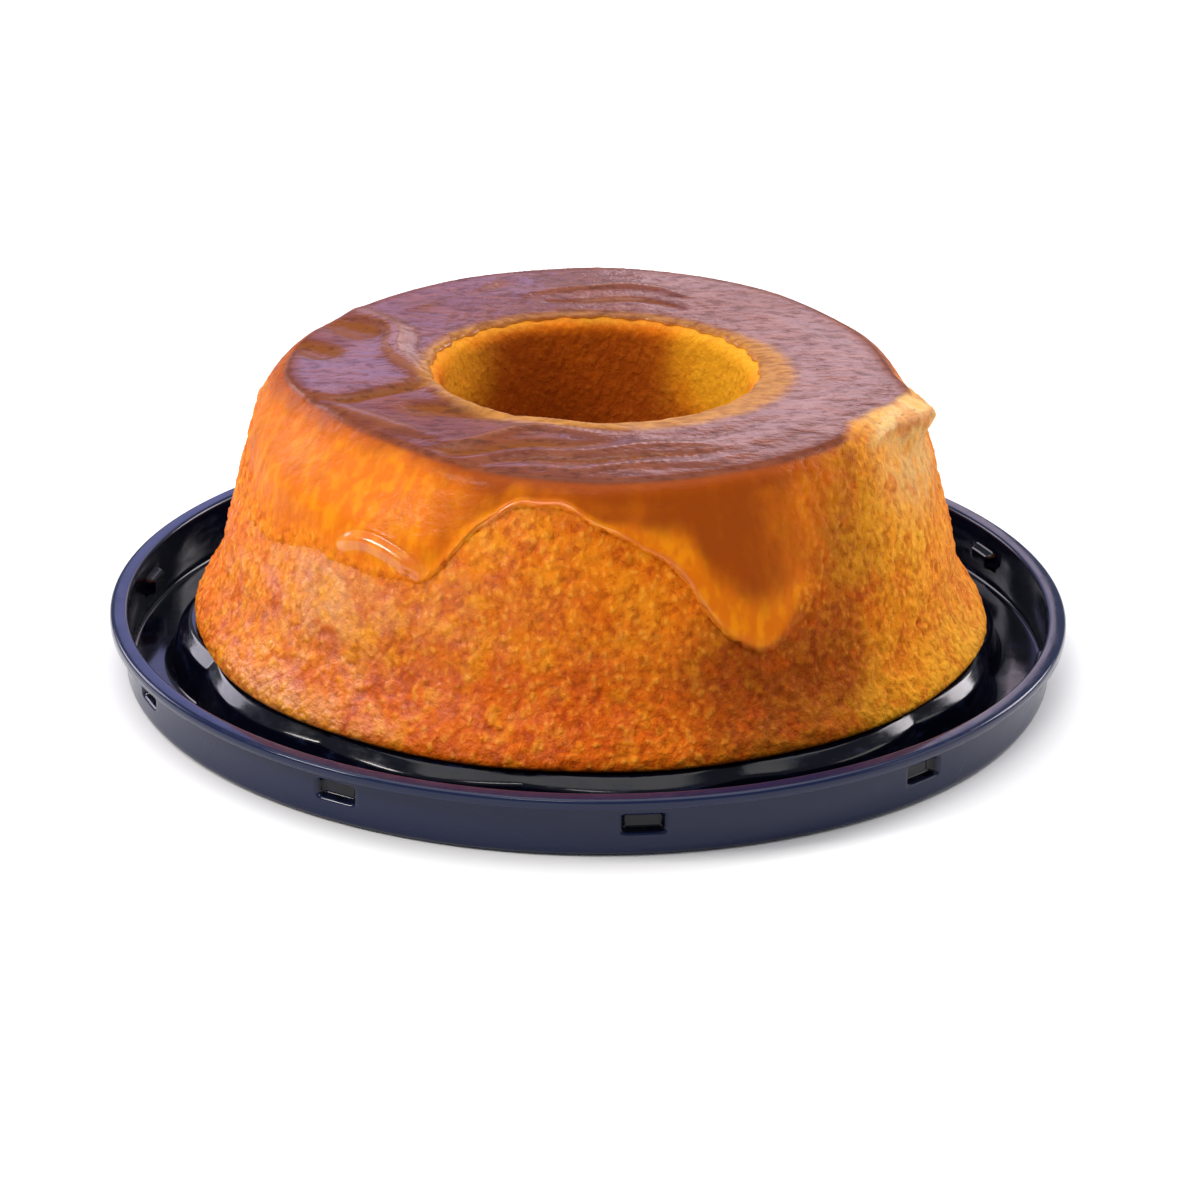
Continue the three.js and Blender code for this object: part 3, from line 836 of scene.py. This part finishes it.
def glaze_columns(settings, angle, line):
    """The glaze at each angle and each row: place on the section, lift off it, and how it looks there."""
    distance = along(line)
    normal = normal_of(line)
    corner = distance[np.argmin(np.hypot(*(line - np.array(CORNER) * MM).T))]
    top = (line[:, 1] > 70 * MM) & (line[:, 0] < 80 * MM)  # the flat top and the hole's upper wall
    # Rows run from the lower edge of the runs to the hole, closer together near both ends.
    mouth_radius = MOUTH_EDGE + 0.3 * np.sin(np.radians(23 * angle))
    mouth_radius += 0.2 * np.sin(np.radians(51 * angle + 40))
    thins_at = round_the_ring(angle, MOUTH, 3)[:, None]
    wobble = 0.6 * np.sin(np.radians(17 * angle)) + 0.4 * np.sin(np.radians(41 * angle + 60))
    start = corner - (round_the_ring(angle, RUNS, 2.0) + wobble) * MM
    end = np.interp(-mouth_radius * MM, -line[top, 0], distance[top])
    part = np.linspace(0, 1, GLAZE_ROWS)
    crowded = 0.72 * part + 0.28 * (0.5 - 0.5 * np.cos(np.pi * part))
    at = start[:, None] + (end - start)[:, None] * crowded
    # Thickness: rounded edges, with a bead above the lower one and a fold where the glaze slid.
    from_foot, from_mouth = at - start[:, None], end[:, None] - at
    feather = round_the_ring(angle, FEATHER, 4)[:, None] * MM
    foot_edge = quarter_round(from_foot / feather)
    mouth_edge = quarter_round(from_mouth / settings.bead)
    radius, z = (np.interp(at, distance, line[:, i]) for i in (0, 1))
    out_r, out_z = (np.interp(at, distance, normal[:, i]) for i in (0, 1))
    on_top = smoothstep(z / MM, TOP - 1.3, TOP - 0.35)
    depth_and_shade = round_the_ring(angle, DEPTHS, 4)[:, None]
    bead_width = round_the_ring(angle, BEAD_WIDTHS, 2)[:, None]
    bead = round_the_ring(angle, BEADS, 2.5)[:, None] * np.exp(-((from_foot / MM / bead_width - 1.15) ** 2))
    full = on_top + (1 - on_top) * (0.35 + 0.75 * depth_and_shade + bead)
    lift = settings.thickness * full * foot_edge * mouth_edge - DIP * (1 - foot_edge * mouth_edge)
    slide = crest_along(SLIDE, SLIDE_WIDTH, z, angle[:, None]) * foot_edge
    lift += SLIDE_HEIGHT * slide
    # Depth of colour: pale at the edges of the runs and round the hole, and painted shade in a band under the
    # top's edge.
    thin_edge = round_the_ring(angle, RIBBON, 2)[:, None]
    fade = smoothstep(from_foot / MM / thin_edge, 0.2, 1) * (1 - on_top)
    short = smoothstep(round_the_ring(angle, RUNS, 1.6), 6, 1)[:, None]
    at_rim = short * smoothstep(from_foot / MM, 5, 0.5)
    fade += on_top * smoothstep(radius / MM - thins_at, -4, 5) * (1 - at_rim)
    # Painted shade: the band under the top's edge is darker.
    shade_under_edge = smoothstep((corner - at) / MM, 8, 0) * (1 - on_top) * smoothstep(from_foot / MM, 3, 9)
    depth_and_shade = np.clip(fade * (on_top + (1 - on_top) * depth_and_shade) + 0.55 * shade_under_edge, 0, 1)
    # How far the glaze hides the crumb, how it shines, and how far onto the top a point lies.
    sheer = round_the_ring(angle, SHEER, 3)[:, None] * (1 - on_top)
    clear = foot_edge * mouth_edge * smoothstep(from_foot / feather, 0, 1) * (1 - 0.8 * sheer)
    shine = np.maximum(smoothstep(bead, 0.12, 0.6) * (1 - on_top), smoothstep(slide, 0.05, 0.4))
    inside = smoothstep((at - corner) / MM, 0.3, 4.0)
    return {
        "radius": radius, "z": z, "out": (out_r, out_z), "lift": lift, "on_top": on_top, "depth_and_shade": depth_and_shade,
        "cover": clear, "shine": shine, "inside": inside,
    }


def quarter_round(share):
    """Rises from 0 to 1 along a quarter of a circle."""
    return np.sqrt(np.clip(1 - (1 - np.clip(share, 0, 1)) ** 2, 0, 1))


def pour_glaze(settings, sponge):
    """The glaze's vertices, and its attributes."""
    angle = np.arange(GLAZE_COLUMNS) * 360 / GLAZE_COLUMNS
    column = glaze_columns(settings, angle, sponge_section(sponge))
    wide = angle[:, None]

    def surface(lift, rows=slice(None)):
        """The chosen rows at a height off the section."""
        radius, z = column["radius"][:, rows], column["z"][:, rows]
        out_r, out_z = (part[:, rows] for part in column["out"])
        return add_relief(stray(radius + out_r * lift, z + out_z * lift, wide, sponge.hole_shift), z)

    under = np.linspace(GLAZE_ROWS - 1, 0, GLAZE_UNDER_ROWS + 2).round().astype(int)[1:-1]
    inner = surface(np.full((len(angle), len(under)), -BURIED), under)
    points = np.concatenate([surface(column["lift"]), inner], 1)
    numbers = {name: values for name, values in column.items() if name != "out"}
    both = {name: np.concatenate([values, values[:, under]], 1) for name, values in numbers.items()}
    marks = sponge_marks(both["radius"], both["z"], wide)
    marks["rough"] = marks["rough"] * (1 - both["cover"]) * (1 - both["on_top"])
    marks.update({name: both[name] for name in ("depth_and_shade", "on_top", "cover", "shine")})
    marks["fold"] = folds_at(points) / MM * both["on_top"]
    marks["gloss"] = 0.25 + 0.75 * both["inside"]
    for x, y, size, loss in DULL:
        away = np.hypot(points[..., 0] / MM - x, points[..., 1] / MM - y)
        marks["gloss"] *= 1 - loss * np.exp(-((away / size) ** 2))
    return points, marks


# Tones of the glaze that no setting holds.
SUNNY_GLAZE = (0.78, 0.235, 0.001)
BURNT_STRAND = (0.2, 0.048, 0.014)
# Painted shade in the grooves of the folds.
GROOVE_SHADE = (0.19, 0.05, 0.004)
# Painted highlight on the crests of the folds.
CREST_HIGHLIGHT = (0.24, 0.075, 0.03)
DARK_SPECK = (0.075, 0.016, 0.006)
PALE_SPECK = (0.56, 0.25, 0.05)


def glaze_material(settings, sponge):
    """Amber runs on the side and a caramel skin on the top, over crumb that shows where it is thin."""
    material, tree, shader = new_material("orange_glaze")
    crumb, crumb_height = crumb_nodes(tree, sponge)
    names = ("depth_and_shade", "on_top", "cover", "fold", "shine", "gloss")
    depth_and_shade, top, cover, fold, shine, gloss = (attribute(tree, name) for name in names)
    cloud = noise(tree, 8 * MM, 3.0, 0.55, (1, 1, 0.45))
    mottle = noise(tree, 3.5 * MM, 2.0, 0.5, (1, 1, 0.5))
    strands = noise(tree, 5 * MM, 4.0, 0.6, (0.35, 1, 1))
    # Runs on the side: orange where they are thin, and amber where they are deep or under the painted shade
    # below the top's edge.
    uneven = calculate(tree, "ADD", depth_and_shade, calculate(tree, "MULTIPLY_ADD", cloud, 0.9, -0.5))
    uneven = calculate(tree, "ADD", uneven, calculate(tree, "MULTIPLY_ADD", mottle, 0.25, -0.125))
    thin = blend_colours(tree, smooth_between(tree, mottle, 0.4, 0.7), settings.thin, SUNNY_GLAZE)
    run = blend_colours(tree, smooth_between(tree, uneven, 0.1, 0.95), thin, settings.amber)
    # The top: caramel with strands, dark specks and a tan band round the hole, with painted shade in the
    # folds' grooves and painted highlights on their crests.
    burnt = blend_colours(tree, smooth_between(tree, strands, 0.4, 0.64), settings.caramel, BURNT_STRAND)
    burnt = blend_colours(tree, smooth_between(tree, fold, -0.15, -0.9), burnt, GROOVE_SHADE)
    burnt = blend_colours(tree, smooth_between(tree, fold, 0.2, 1.2), burnt, CREST_HIGHLIGHT)
    speckle = noise(tree, 2.6 * MM, 3.0, 0.65, (0.6, 1, 1))
    burnt = blend_colours(tree, smooth_between(tree, speckle, 0.5, 0.36, 0.0, 0.6), burnt, DARK_SPECK)
    streaky = calculate(tree, "ADD", depth_and_shade, calculate(tree, "MULTIPLY_ADD", strands, 0.9, -0.45))
    band = blend_colours(tree, smooth_between(tree, speckle, 0.35, 0.65, 0.0, 0.7), settings.tan, PALE_SPECK)
    burnt = blend_colours(tree, smooth_between(tree, streaky, 0.1, 0.9), band, burnt)
    colour = blend_colours(tree, top, run, burnt)
    colour = blend_colours(tree, smooth_between(tree, cover, 0.0, 0.8), crumb, colour)
    # Ripples, a fine skin, and the crumb's relief where it shows through.
    ripple = noise(tree, 6 * MM, 3.0, 0.5, (0.5, 1, 1))
    skin = noise(tree, 1.2 * MM, 2.0, 0.5)
    seen = calculate(tree, "MULTIPLY", crumb_height, smooth_between(tree, cover, 0.0, 1.0, 1.0, 0.06))
    height = calculate(tree, "MULTIPLY_ADD", ripple, 0.7, calculate(tree, "MULTIPLY_ADD", skin, 0.12, seen))
    height = calculate(tree, "MULTIPLY_ADD", speckle, 0.5, height)
    height = calculate(tree, "MULTIPLY", height, smooth_between(tree, shine, 0.0, 0.8, 1.0, 0.15))
    bump = add_node(tree, "ShaderNodeBump", {"Height": height, "Strength": 0.7, "Distance": 0.6 * MM})
    # The shiny coat is strongest on the beads, the slid fold and the polished parts of the top.
    rough = smooth_between(tree, cover, 0.0, 1.0, 0.6, 0.42)
    coat = calculate(tree, "MULTIPLY_ADD", shine, 1.0, calculate(tree, "MULTIPLY", cover, 0.05))
    polish = calculate(tree, "MULTIPLY", gloss, smooth_between(tree, depth_and_shade, 0.0, 1.0, 0.06, 0.7))
    polish = calculate(tree, "MULTIPLY", polish, smooth_between(tree, speckle, 0.34, 0.56, 0.6, 1.2))
    polish = calculate(tree, "MULTIPLY", polish, smooth_between(tree, fold, -0.1, -0.9, 1.0, 0.4))
    coat = calculate(tree, "MAXIMUM", coat, calculate(tree, "MULTIPLY", top, polish))
    cover_with(tree, shader, colour, rough, bump.outputs[0], coat)
    shader.inputs["Coat Roughness"].default_value = 0.16
    return material


# ---- the tray ----

TRAY_COLUMNS_PER_SNAP = 56
BEND_POINTS = 7  # on each bend of the section
SNAP_SOFTNESS = 1.3 * MM  # how wide the slope round a dimple is
WELD = 1e-6  # merges the first and last columns, and the points on the axis


def tray_section(settings):
    """The sheet's section as x and z, from the axis over the top to the lip and back under it."""
    t = settings.sheet
    side, deck = settings.platform_radius, settings.platform_height
    wall, edge, top = settings.wall_radius, settings.radius, settings.height

    def bend(start, corner, end):
        """A round bend inside a corner."""
        u = np.linspace(0, 1, BEND_POINTS)[:, None]
        a, b, c = (np.array(p) for p in (start, corner, end))
        return (1 - u) ** 2 * a + 2 * u * (1 - u) * b + u**2 * c

    def straight(start, end, step):
        """Points about a step apart, without the two ends."""
        count = max(2, int(math.dist(start, end) / step))
        return np.linspace(start, end, count, endpoint=False)[1:]

    def skin(up):
        """One face of the sheet, from the axis to the wall's top, at a height above the underside."""
        out = t - up
        shoulder, floor_bend, foot = 3.4 * MM, 2.2 * MM, side + 2.6 * MM
        deck_z, floor_z = deck - t + up, up
        side_r, foot_r, wall_r = side - out, foot - out, wall - up
        shoulder_start = (side_r - shoulder, deck_z)
        slope_start = (side_r - 2.2 * MM, deck_z - 0.4 * MM)
        slope_end = (side_r + 0.1 * MM, deck_z - 2.6 * MM)
        side_start = (side_r + 0.9 * MM, deck_z - shoulder - 1 * MM)
        side_end = (foot_r - 0.4 * MM, floor_z + floor_bend)
        floor_start, floor_end = (foot_r + floor_bend, floor_z), (wall_r - floor_bend, floor_z)
        wall_start = (wall_r, floor_z + floor_bend)
        parts = [
            [(0, deck_z)],
            straight((0, deck_z), shoulder_start, 12 * MM),
            bend(shoulder_start, (side_r - 2.7 * MM, deck_z), slope_start),
            straight(slope_start, slope_end, 0.5 * MM),
            bend(slope_end, (side_r + 0.7 * MM, deck_z - 3.2 * MM), side_start),
            straight(side_start, side_end, 2 * MM),
            bend(side_end, (foot_r, floor_z), floor_start),
            straight(floor_start, floor_end, 2 * MM),
            bend(floor_end, (wall_r, floor_z), wall_start),
            straight(wall_start, (wall_r, top - 2.4 * MM), 0.42 * MM),
        ]
        return np.concatenate([np.asarray(p).reshape(-1, 2) for p in parts])

    lip = 1.3 * MM
    rim = np.concatenate([
        bend((wall - t, top - lip), (wall - t, top), (wall - t + lip, top)),
        straight((wall - t + lip, top), (edge - lip, top), 0.8 * MM),
        bend((edge - lip, top), (edge, top), (edge, top - lip)),
        [(edge, top - 2.6 * MM), (edge - t / 2, top - 2.9 * MM), (edge - t, top - 2.6 * MM)],
        bend((edge - t, top - t - lip / 2), (edge - t, top - t), (edge - t - lip / 2, top - t)),
        bend((wall + lip / 2, top - t), (wall, top - t), (wall, top - t - lip / 2)),
    ])
    return np.concatenate([skin(t), rim, skin(0)[::-1]])


def tray_tree(rows):
    """Turns a section round the axis, with lobes round the platform and dimples round the wall."""
    floats = (
        "Platform Radius", "Lobe Depth", "Wall Radius", "Snap Width", "Snap Height", "Snap Depth",
        "Snap Level", "First Snap", "Edge Softness",
    )
    tree, given = new_geometry_tree("Formed Tray", floats, ("Lobes", "Snaps", "Columns"))

    def calc(operation, *values):
        """A Math node's output in this tree."""
        return calculate(tree, operation, *values)

    # A grid with a column of vertices for each angle, crowded round each dimple.
    grid_inputs = {"Size X": 1.0, "Size Y": 1.0, "Vertices Y": rows}
    grid_inputs["Vertices X"] = calc("ADD", given["Columns"], 1.0)
    grid = add_node(tree, "GeometryNodeMeshGrid", grid_inputs).outputs["Mesh"]
    index = add_node(tree, "GeometryNodeInputIndex").outputs[0]
    column = calc("FLOOR", calc("DIVIDE", calc("ADD", index, 0.5), float(rows)))
    row = calc("SUBTRACT", index, calc("MULTIPLY", column, float(rows)))
    sector_columns = calc("DIVIDE", given["Columns"], given["Snaps"])
    sector = calc("FLOOR", calc("DIVIDE", calc("ADD", column, 0.5), sector_columns))
    in_sector = calc("SUBTRACT", column, calc("MULTIPLY", sector, sector_columns))
    in_sector = calc("DIVIDE", in_sector, sector_columns)
    centred = calc("MULTIPLY_ADD", in_sector, 2.0, -1.0)
    cubed = calc("MULTIPLY", centred, calc("MULTIPLY", centred, centred))
    crowded = calc("MULTIPLY_ADD", cubed, 0.6, calc("MULTIPLY", centred, 0.4))
    pitch = calc("DIVIDE", math.tau, given["Snaps"])
    from_snap = calc("MULTIPLY", crowded, calc("MULTIPLY", pitch, 0.5))
    from_first = calc("ADD", calc("MULTIPLY", sector, pitch), from_snap)
    angle = calc("ADD", from_first, given["First Snap"])

    # Each row takes its radius and height from a point of the section.
    position = add_node(tree, "GeometryNodeInputPosition").outputs[0]
    sample = {"Geometry": given["Geometry"], "Index": row, "Value": position}
    on_section = add_node(
        tree, "GeometryNodeSampleIndex", sample, data_type="FLOAT_VECTOR", domain="POINT"
    ).outputs["Value"]
    section = add_node(tree, "ShaderNodeSeparateXYZ", {0: on_section}).outputs
    radius, height = section["X"], section["Z"]

    # Lobes on the platform's side, which fade towards its middle and the floor.
    lobe_turn = calc("SUBTRACT", angle, given["First Snap"])
    lobe_turn = calc("MULTIPLY", lobe_turn, calc("DIVIDE", given["Lobes"], 2.0))
    lobe = calc("SUBTRACT", calc("ABSOLUTE", calc("COSINE", lobe_turn)), 2 / math.pi)
    beyond = calc("SUBTRACT", radius, given["Platform Radius"])
    near_in = smooth_between(tree, beyond, -30 * MM, -5 * MM)
    near_out = smooth_between(tree, beyond, 9 * MM, 5 * MM)
    near = calc("MULTIPLY", near_in, near_out)
    lobed = calc("MULTIPLY", calc("MULTIPLY", lobe, given["Lobe Depth"]), near)

    # Dimples pressed into the wall.
    across = calc("ABSOLUTE", calc("MULTIPLY", from_snap, given["Wall Radius"]))
    up = calc("ABSOLUTE", calc("SUBTRACT", height, given["Snap Level"]))

    def flank(away, size):
        """1 inside half of size and 0 beyond it, over the edge's softness."""
        inset = calc("SUBTRACT", calc("MULTIPLY", size, 0.5), away)
        return smooth_between(tree, inset, 0.0, given["Edge Softness"])

    pressed = calc("MULTIPLY", flank(across, given["Snap Width"]), flank(up, given["Snap Height"]))
    pressed = calc("MULTIPLY", pressed, given["Snap Depth"])
    from_wall = calc("SUBTRACT", radius, given["Wall Radius"])
    pressed = calc("MULTIPLY", pressed, smooth_between(tree, from_wall, -2.0 * MM, -1.5 * MM))

    # Every vertex goes to its place, and the ends of the grid are joined.
    reach = calc("SUBTRACT", calc("ADD", radius, lobed), pressed)
    x = calc("MULTIPLY", reach, calc("SINE", angle))
    y = calc("MULTIPLY", calc("MULTIPLY", reach, calc("COSINE", angle)), -1.0)
    place = add_node(tree, "ShaderNodeCombineXYZ", {"X": x, "Y": y, "Z": height}).outputs[0]
    turned = add_node(tree, "GeometryNodeSetPosition", {"Geometry": grid, "Position": place})
    welding = {"Geometry": turned.outputs[0], "Distance": WELD}
    joined = add_node(tree, "GeometryNodeMergeByDistance", welding)
    shading = {"Geometry": joined.outputs[0], "Shade Smooth": True}
    smooth = add_node(tree, "GeometryNodeSetShadeSmooth", shading)
    end_tree(tree, smooth.outputs[0], given["Material"])
    return tree


def tray_material(settings):
    """Glossy black plastic, faintly scuffed, with a painted bluish reflection on the outside of the wall."""
    material, tree, shader = new_material("black_tray_plastic")
    flow = noise(tree, 60 * MM, 2.0, 0.5)
    dust = noise(tree, 0.9 * MM, 2.0, 0.5)
    scuffs = noise(tree, 7 * MM, 5.0, 0.65, (1, 1, 3))
    grey = tuple(channel * 1.3 + 0.003 for channel in settings.skirt_reflection)
    place = add_node(tree, "ShaderNodeTexCoord").outputs["Object"]
    flat = vector_math(tree, "MULTIPLY", place, (1, 1, 0))
    from_axis = add_node(tree, "ShaderNodeVectorMath", {0: flat}, operation="LENGTH").outputs["Value"]
    wall = settings.wall_radius
    outside = smooth_between(tree, from_axis, wall - 1.2 * MM, wall - 0.2 * MM)
    # Painted reflection: the wall's outside is lighter and bluer than the rest of the sheet.
    colour = blend_colours(tree, outside, settings.colour, settings.skirt_reflection)
    colour = blend_colours(tree, smooth_between(tree, scuffs, 0.52, 0.75, 0.0, 0.5), colour, grey)
    rough = smooth_between(tree, scuffs, 0.35, 0.75, 0.1, 0.24)
    height = calculate(tree, "MULTIPLY_ADD", flow, 6.0, calculate(tree, "MULTIPLY", dust, 0.05))
    bump = add_node(tree, "ShaderNodeBump", {"Height": height, "Strength": 0.25, "Distance": 0.5 * MM})
    link_inputs(tree, shader, {"Base Color": colour, "Roughness": rough, "Normal": bump.outputs[0]})
    shader.inputs["Specular IOR Level"].default_value = 0.3
    return material


# ---- operators ----


class CAKE_OT_form_tray(bpy.types.Operator):
    """Forms the black tray from one sheet"""

    bl_idname = "cake.form_tray"
    bl_label = "Form Tray"

    def execute(self, context):
        settings = context.scene.ring_cake.tray
        section = tray_section(settings)
        piece = new_piece("formed_tray", [(x, 0, z) for x, z in section], [])
        run_tree(piece, tray_tree(len(section)), {
            "Platform Radius": settings.platform_radius, "Lobe Depth": settings.lobe_depth,
            "Wall Radius": settings.wall_radius, "Lobes": settings.lobes, "Snaps": settings.snaps,
            "Snap Width": settings.snap_width, "Snap Height": settings.snap_height,
            "Snap Depth": settings.snap_depth, "Snap Level": settings.snap_level,
            "First Snap": settings.first_snap, "Edge Softness": SNAP_SOFTNESS,
            "Columns": settings.snaps * TRAY_COLUMNS_PER_SNAP, "Material": tray_material(settings),
        })
        face_outwards(piece)
        finish_piece(piece, "tray")
        return {"FINISHED"}


def face_outwards(piece):
    """Recalculates the normals of a closed piece."""
    mesh = bmesh.new()
    mesh.from_mesh(piece.data)
    bmesh.ops.recalc_face_normals(mesh, faces=mesh.faces)
    mesh.to_mesh(piece.data)
    mesh.free()


class CAKE_OT_bake_sponge(bpy.types.Operator):
    """Bakes the ring of orange sponge"""

    bl_idname = "cake.bake_sponge"
    bl_label = "Bake Sponge"

    def execute(self, context):
        settings = context.scene.ring_cake.sponge
        rows = sponge_rows(sponge_section(settings))
        angle = (np.arange(SPONGE_COLUMNS) * 360 / SPONGE_COLUMNS)[:, None]
        radius, z = np.broadcast_arrays(rows[None, :, 0], rows[None, :, 1])
        points = add_relief(stray(radius, z, angle, settings.hole_shift), z)
        marks = sponge_marks(*np.broadcast_arrays(radius, z, angle))
        piece = new_piece("sponge_ring", points.reshape(-1, 3), ring_faces(SPONGE_COLUMNS, len(rows)), marks)
        grow_crumb(piece, settings, sponge_material(settings))
        finish_piece(piece, "sponge_cake")
        return {"FINISHED"}


class CAKE_OT_pour_glaze(bpy.types.Operator):
    """Pours the orange glaze over the top and down the side"""

    bl_idname = "cake.pour_glaze"
    bl_label = "Pour Glaze"

    def execute(self, context):
        cake = context.scene.ring_cake
        points, marks = pour_glaze(cake.glaze, cake.sponge)
        faces = ring_faces(GLAZE_COLUMNS, GLAZE_ROWS + GLAZE_UNDER_ROWS)
        piece = new_piece("set_glaze", points.reshape(-1, 3), faces, marks)
        grow_crumb(piece, cake.sponge, glaze_material(cake.glaze, cake.sponge))
        finish_piece(piece, "orange_glaze")
        return {"FINISHED"}


class CAKE_OT_set_stage(bpy.types.Operator):
    """Sets the camera, the lights and the floor"""

    bl_idname = "cake.set_stage"
    bl_label = "Set Stage"

    def execute(self, context):
        settings = context.scene.ring_cake.stage
        place_camera(settings)
        lay_floor(settings)
        hang_lights(settings)
        context.scene.view_settings.view_transform = "Standard"
        return {"FINISHED"}


# ---- stage ----

FLOOR_REACH = 6.0
FLOOR_DROP = 0.2 * MM  # keeps the floor clear of the tray's underside
LIT_POINT = (0, 0, 0.05)  # what every light faces
WORLD_COLOUR = (0.82, 0.88, 1.0)
WORLD_STRENGTH = 0.3


def place_camera(settings):
    """Aims the camera down at the cake from the front."""
    camera = bpy.data.objects.new("camera", bpy.data.cameras.new("camera"))
    bpy.context.scene.collection.objects.link(camera)
    level, rise = math.cos(settings.elevation), math.sin(settings.elevation)
    place = Vector((0, -level, rise)) * settings.distance
    look = (Vector(settings.aim) - place).to_track_quat("-Z", "Y").to_matrix()
    turned = look @ Matrix.Rotation(settings.roll, 3, "Z")
    camera.matrix_world = Matrix.Translation(place) @ turned.to_4x4()
    camera.data.lens = settings.focal
    bpy.context.scene.camera = camera


def lay_floor(settings):
    """A plain pale floor."""
    reach = FLOOR_REACH
    corners = [(-reach, -reach), (reach, -reach), (reach, reach), (-reach, reach)]
    floor = new_piece("floor", [(x, y, -FLOOR_DROP) for x, y in corners], [(0, 1, 2, 3)])
    material, _, shader = new_material("pale_floor")
    shader.inputs["Base Color"].default_value = opaque(settings.floor)
    shader.inputs["Roughness"].default_value = 0.9
    shader.inputs["Specular IOR Level"].default_value = 0.1
    floor.data.materials.append(material)


def hang_light(name, place, size, watts, colour):
    """A soft rectangular light that faces the cake."""
    lamp = bpy.data.lights.new(name, "AREA")
    lamp.shape = "RECTANGLE"
    lamp.size, lamp.size_y = size
    lamp.energy = watts
    lamp.color = colour
    light = bpy.data.objects.new(name, lamp)
    bpy.context.scene.collection.objects.link(light)
    light.location = place
    light.rotation_mode = "QUATERNION"
    light.rotation_quaternion = (Vector(LIT_POINT) - place).to_track_quat("-Z", "Y")


def direction(azimuth, elevation, distance):
    """A place round the cake. The azimuth is 0 at the front and grows towards +X. Angles are in degrees."""
    turn, rise = math.radians(azimuth), math.radians(elevation)
    level = math.cos(rise)
    return Vector((level * math.sin(turn), -level * math.cos(turn), math.sin(rise))) * distance


# Each light: name, place, size, the setting that holds the power, the light's share of it, and the colour.
LIGHTS = [
    ("window", direction(-70, 38, 1.5), (0.46, 0.2), "key", 1.0, (1.0, 0.95, 0.9)),
    ("front_glint", direction(-13, 47, 1.5), (0.34, 0.1), "glint", 1.0, (1.0, 0.96, 0.92)),
    ("fill", direction(84, 22, 1.6), (0.8, 0.6), "fill", 1.0, (1.0, 0.95, 0.88)),
    ("top_light", Vector((0, 0.1, 2.0)), (2.4, 2.4), "top", 1.0, (1.0, 0.99, 0.97)),
    ("blue_sheen", direction(189, 21.5, 1.3), (0.3, 0.44), "sheen", 0.85, (0.42, 0.42, 1.0)),
    ("pink_sheen", direction(173, 22, 1.3), (0.26, 0.5), "sheen", 1.03, (0.9, 0.72, 0.88)),
    ("left_rim", direction(-128, 25, 1.4), (0.65, 0.5), "rim", 0.65, (0.9, 0.86, 1.0)),
    ("right_rim", direction(124, 26, 1.4), (0.5, 0.5), "rim", 0.85, (1.0, 0.95, 0.98)),
]


def hang_lights(settings):
    """Hangs the lights round the cake and sets the world's faint light."""
    for name, place, size, setting, part, colour in LIGHTS:
        hang_light(name, place, size, getattr(settings, setting) * part, colour)
    world = bpy.data.worlds.new("studio")
    bpy.context.scene.world = world
    world.use_nodes = True
    background = world.node_tree.nodes["Background"]
    background.inputs["Color"].default_value = opaque(WORLD_COLOUR)
    background.inputs["Strength"].default_value = WORLD_STRENGTH


# ---- add-on ----


class CAKE_PT_panel(bpy.types.Panel):
    """Lists the steps that make the cake"""

    bl_label = "Orange Ring Cake"
    bl_idname = "CAKE_PT_panel"
    bl_space_type = "VIEW_3D"
    bl_region_type = "UI"
    bl_category = "Cake"

    def draw(self, context):
        for step in STEPS:
            self.layout.operator(step.bl_idname)


SETTINGS = (TraySettings, SpongeSettings, GlazeSettings, StageSettings, CakeSettings)
STEPS = (CAKE_OT_set_stage, CAKE_OT_form_tray, CAKE_OT_bake_sponge, CAKE_OT_pour_glaze)


def register():
    """Registers the settings, the steps and the panel."""
    for item in (*SETTINGS, *STEPS, CAKE_PT_panel):
        bpy.utils.register_class(item)
    bpy.types.Scene.ring_cake = bpy.props.PointerProperty(type=CakeSettings)


def unregister():
    """Takes them away again."""
    del bpy.types.Scene.ring_cake
    for item in reversed((*SETTINGS, *STEPS, CAKE_PT_panel)):
        bpy.utils.unregister_class(item)


def main():
    """Makes the whole scene."""
    register()
    bpy.ops.cake.set_stage()
    bpy.ops.cake.form_tray()
    bpy.ops.cake.bake_sponge()
    bpy.ops.cake.pour_glaze()


if __name__ == "__main__":
    main()
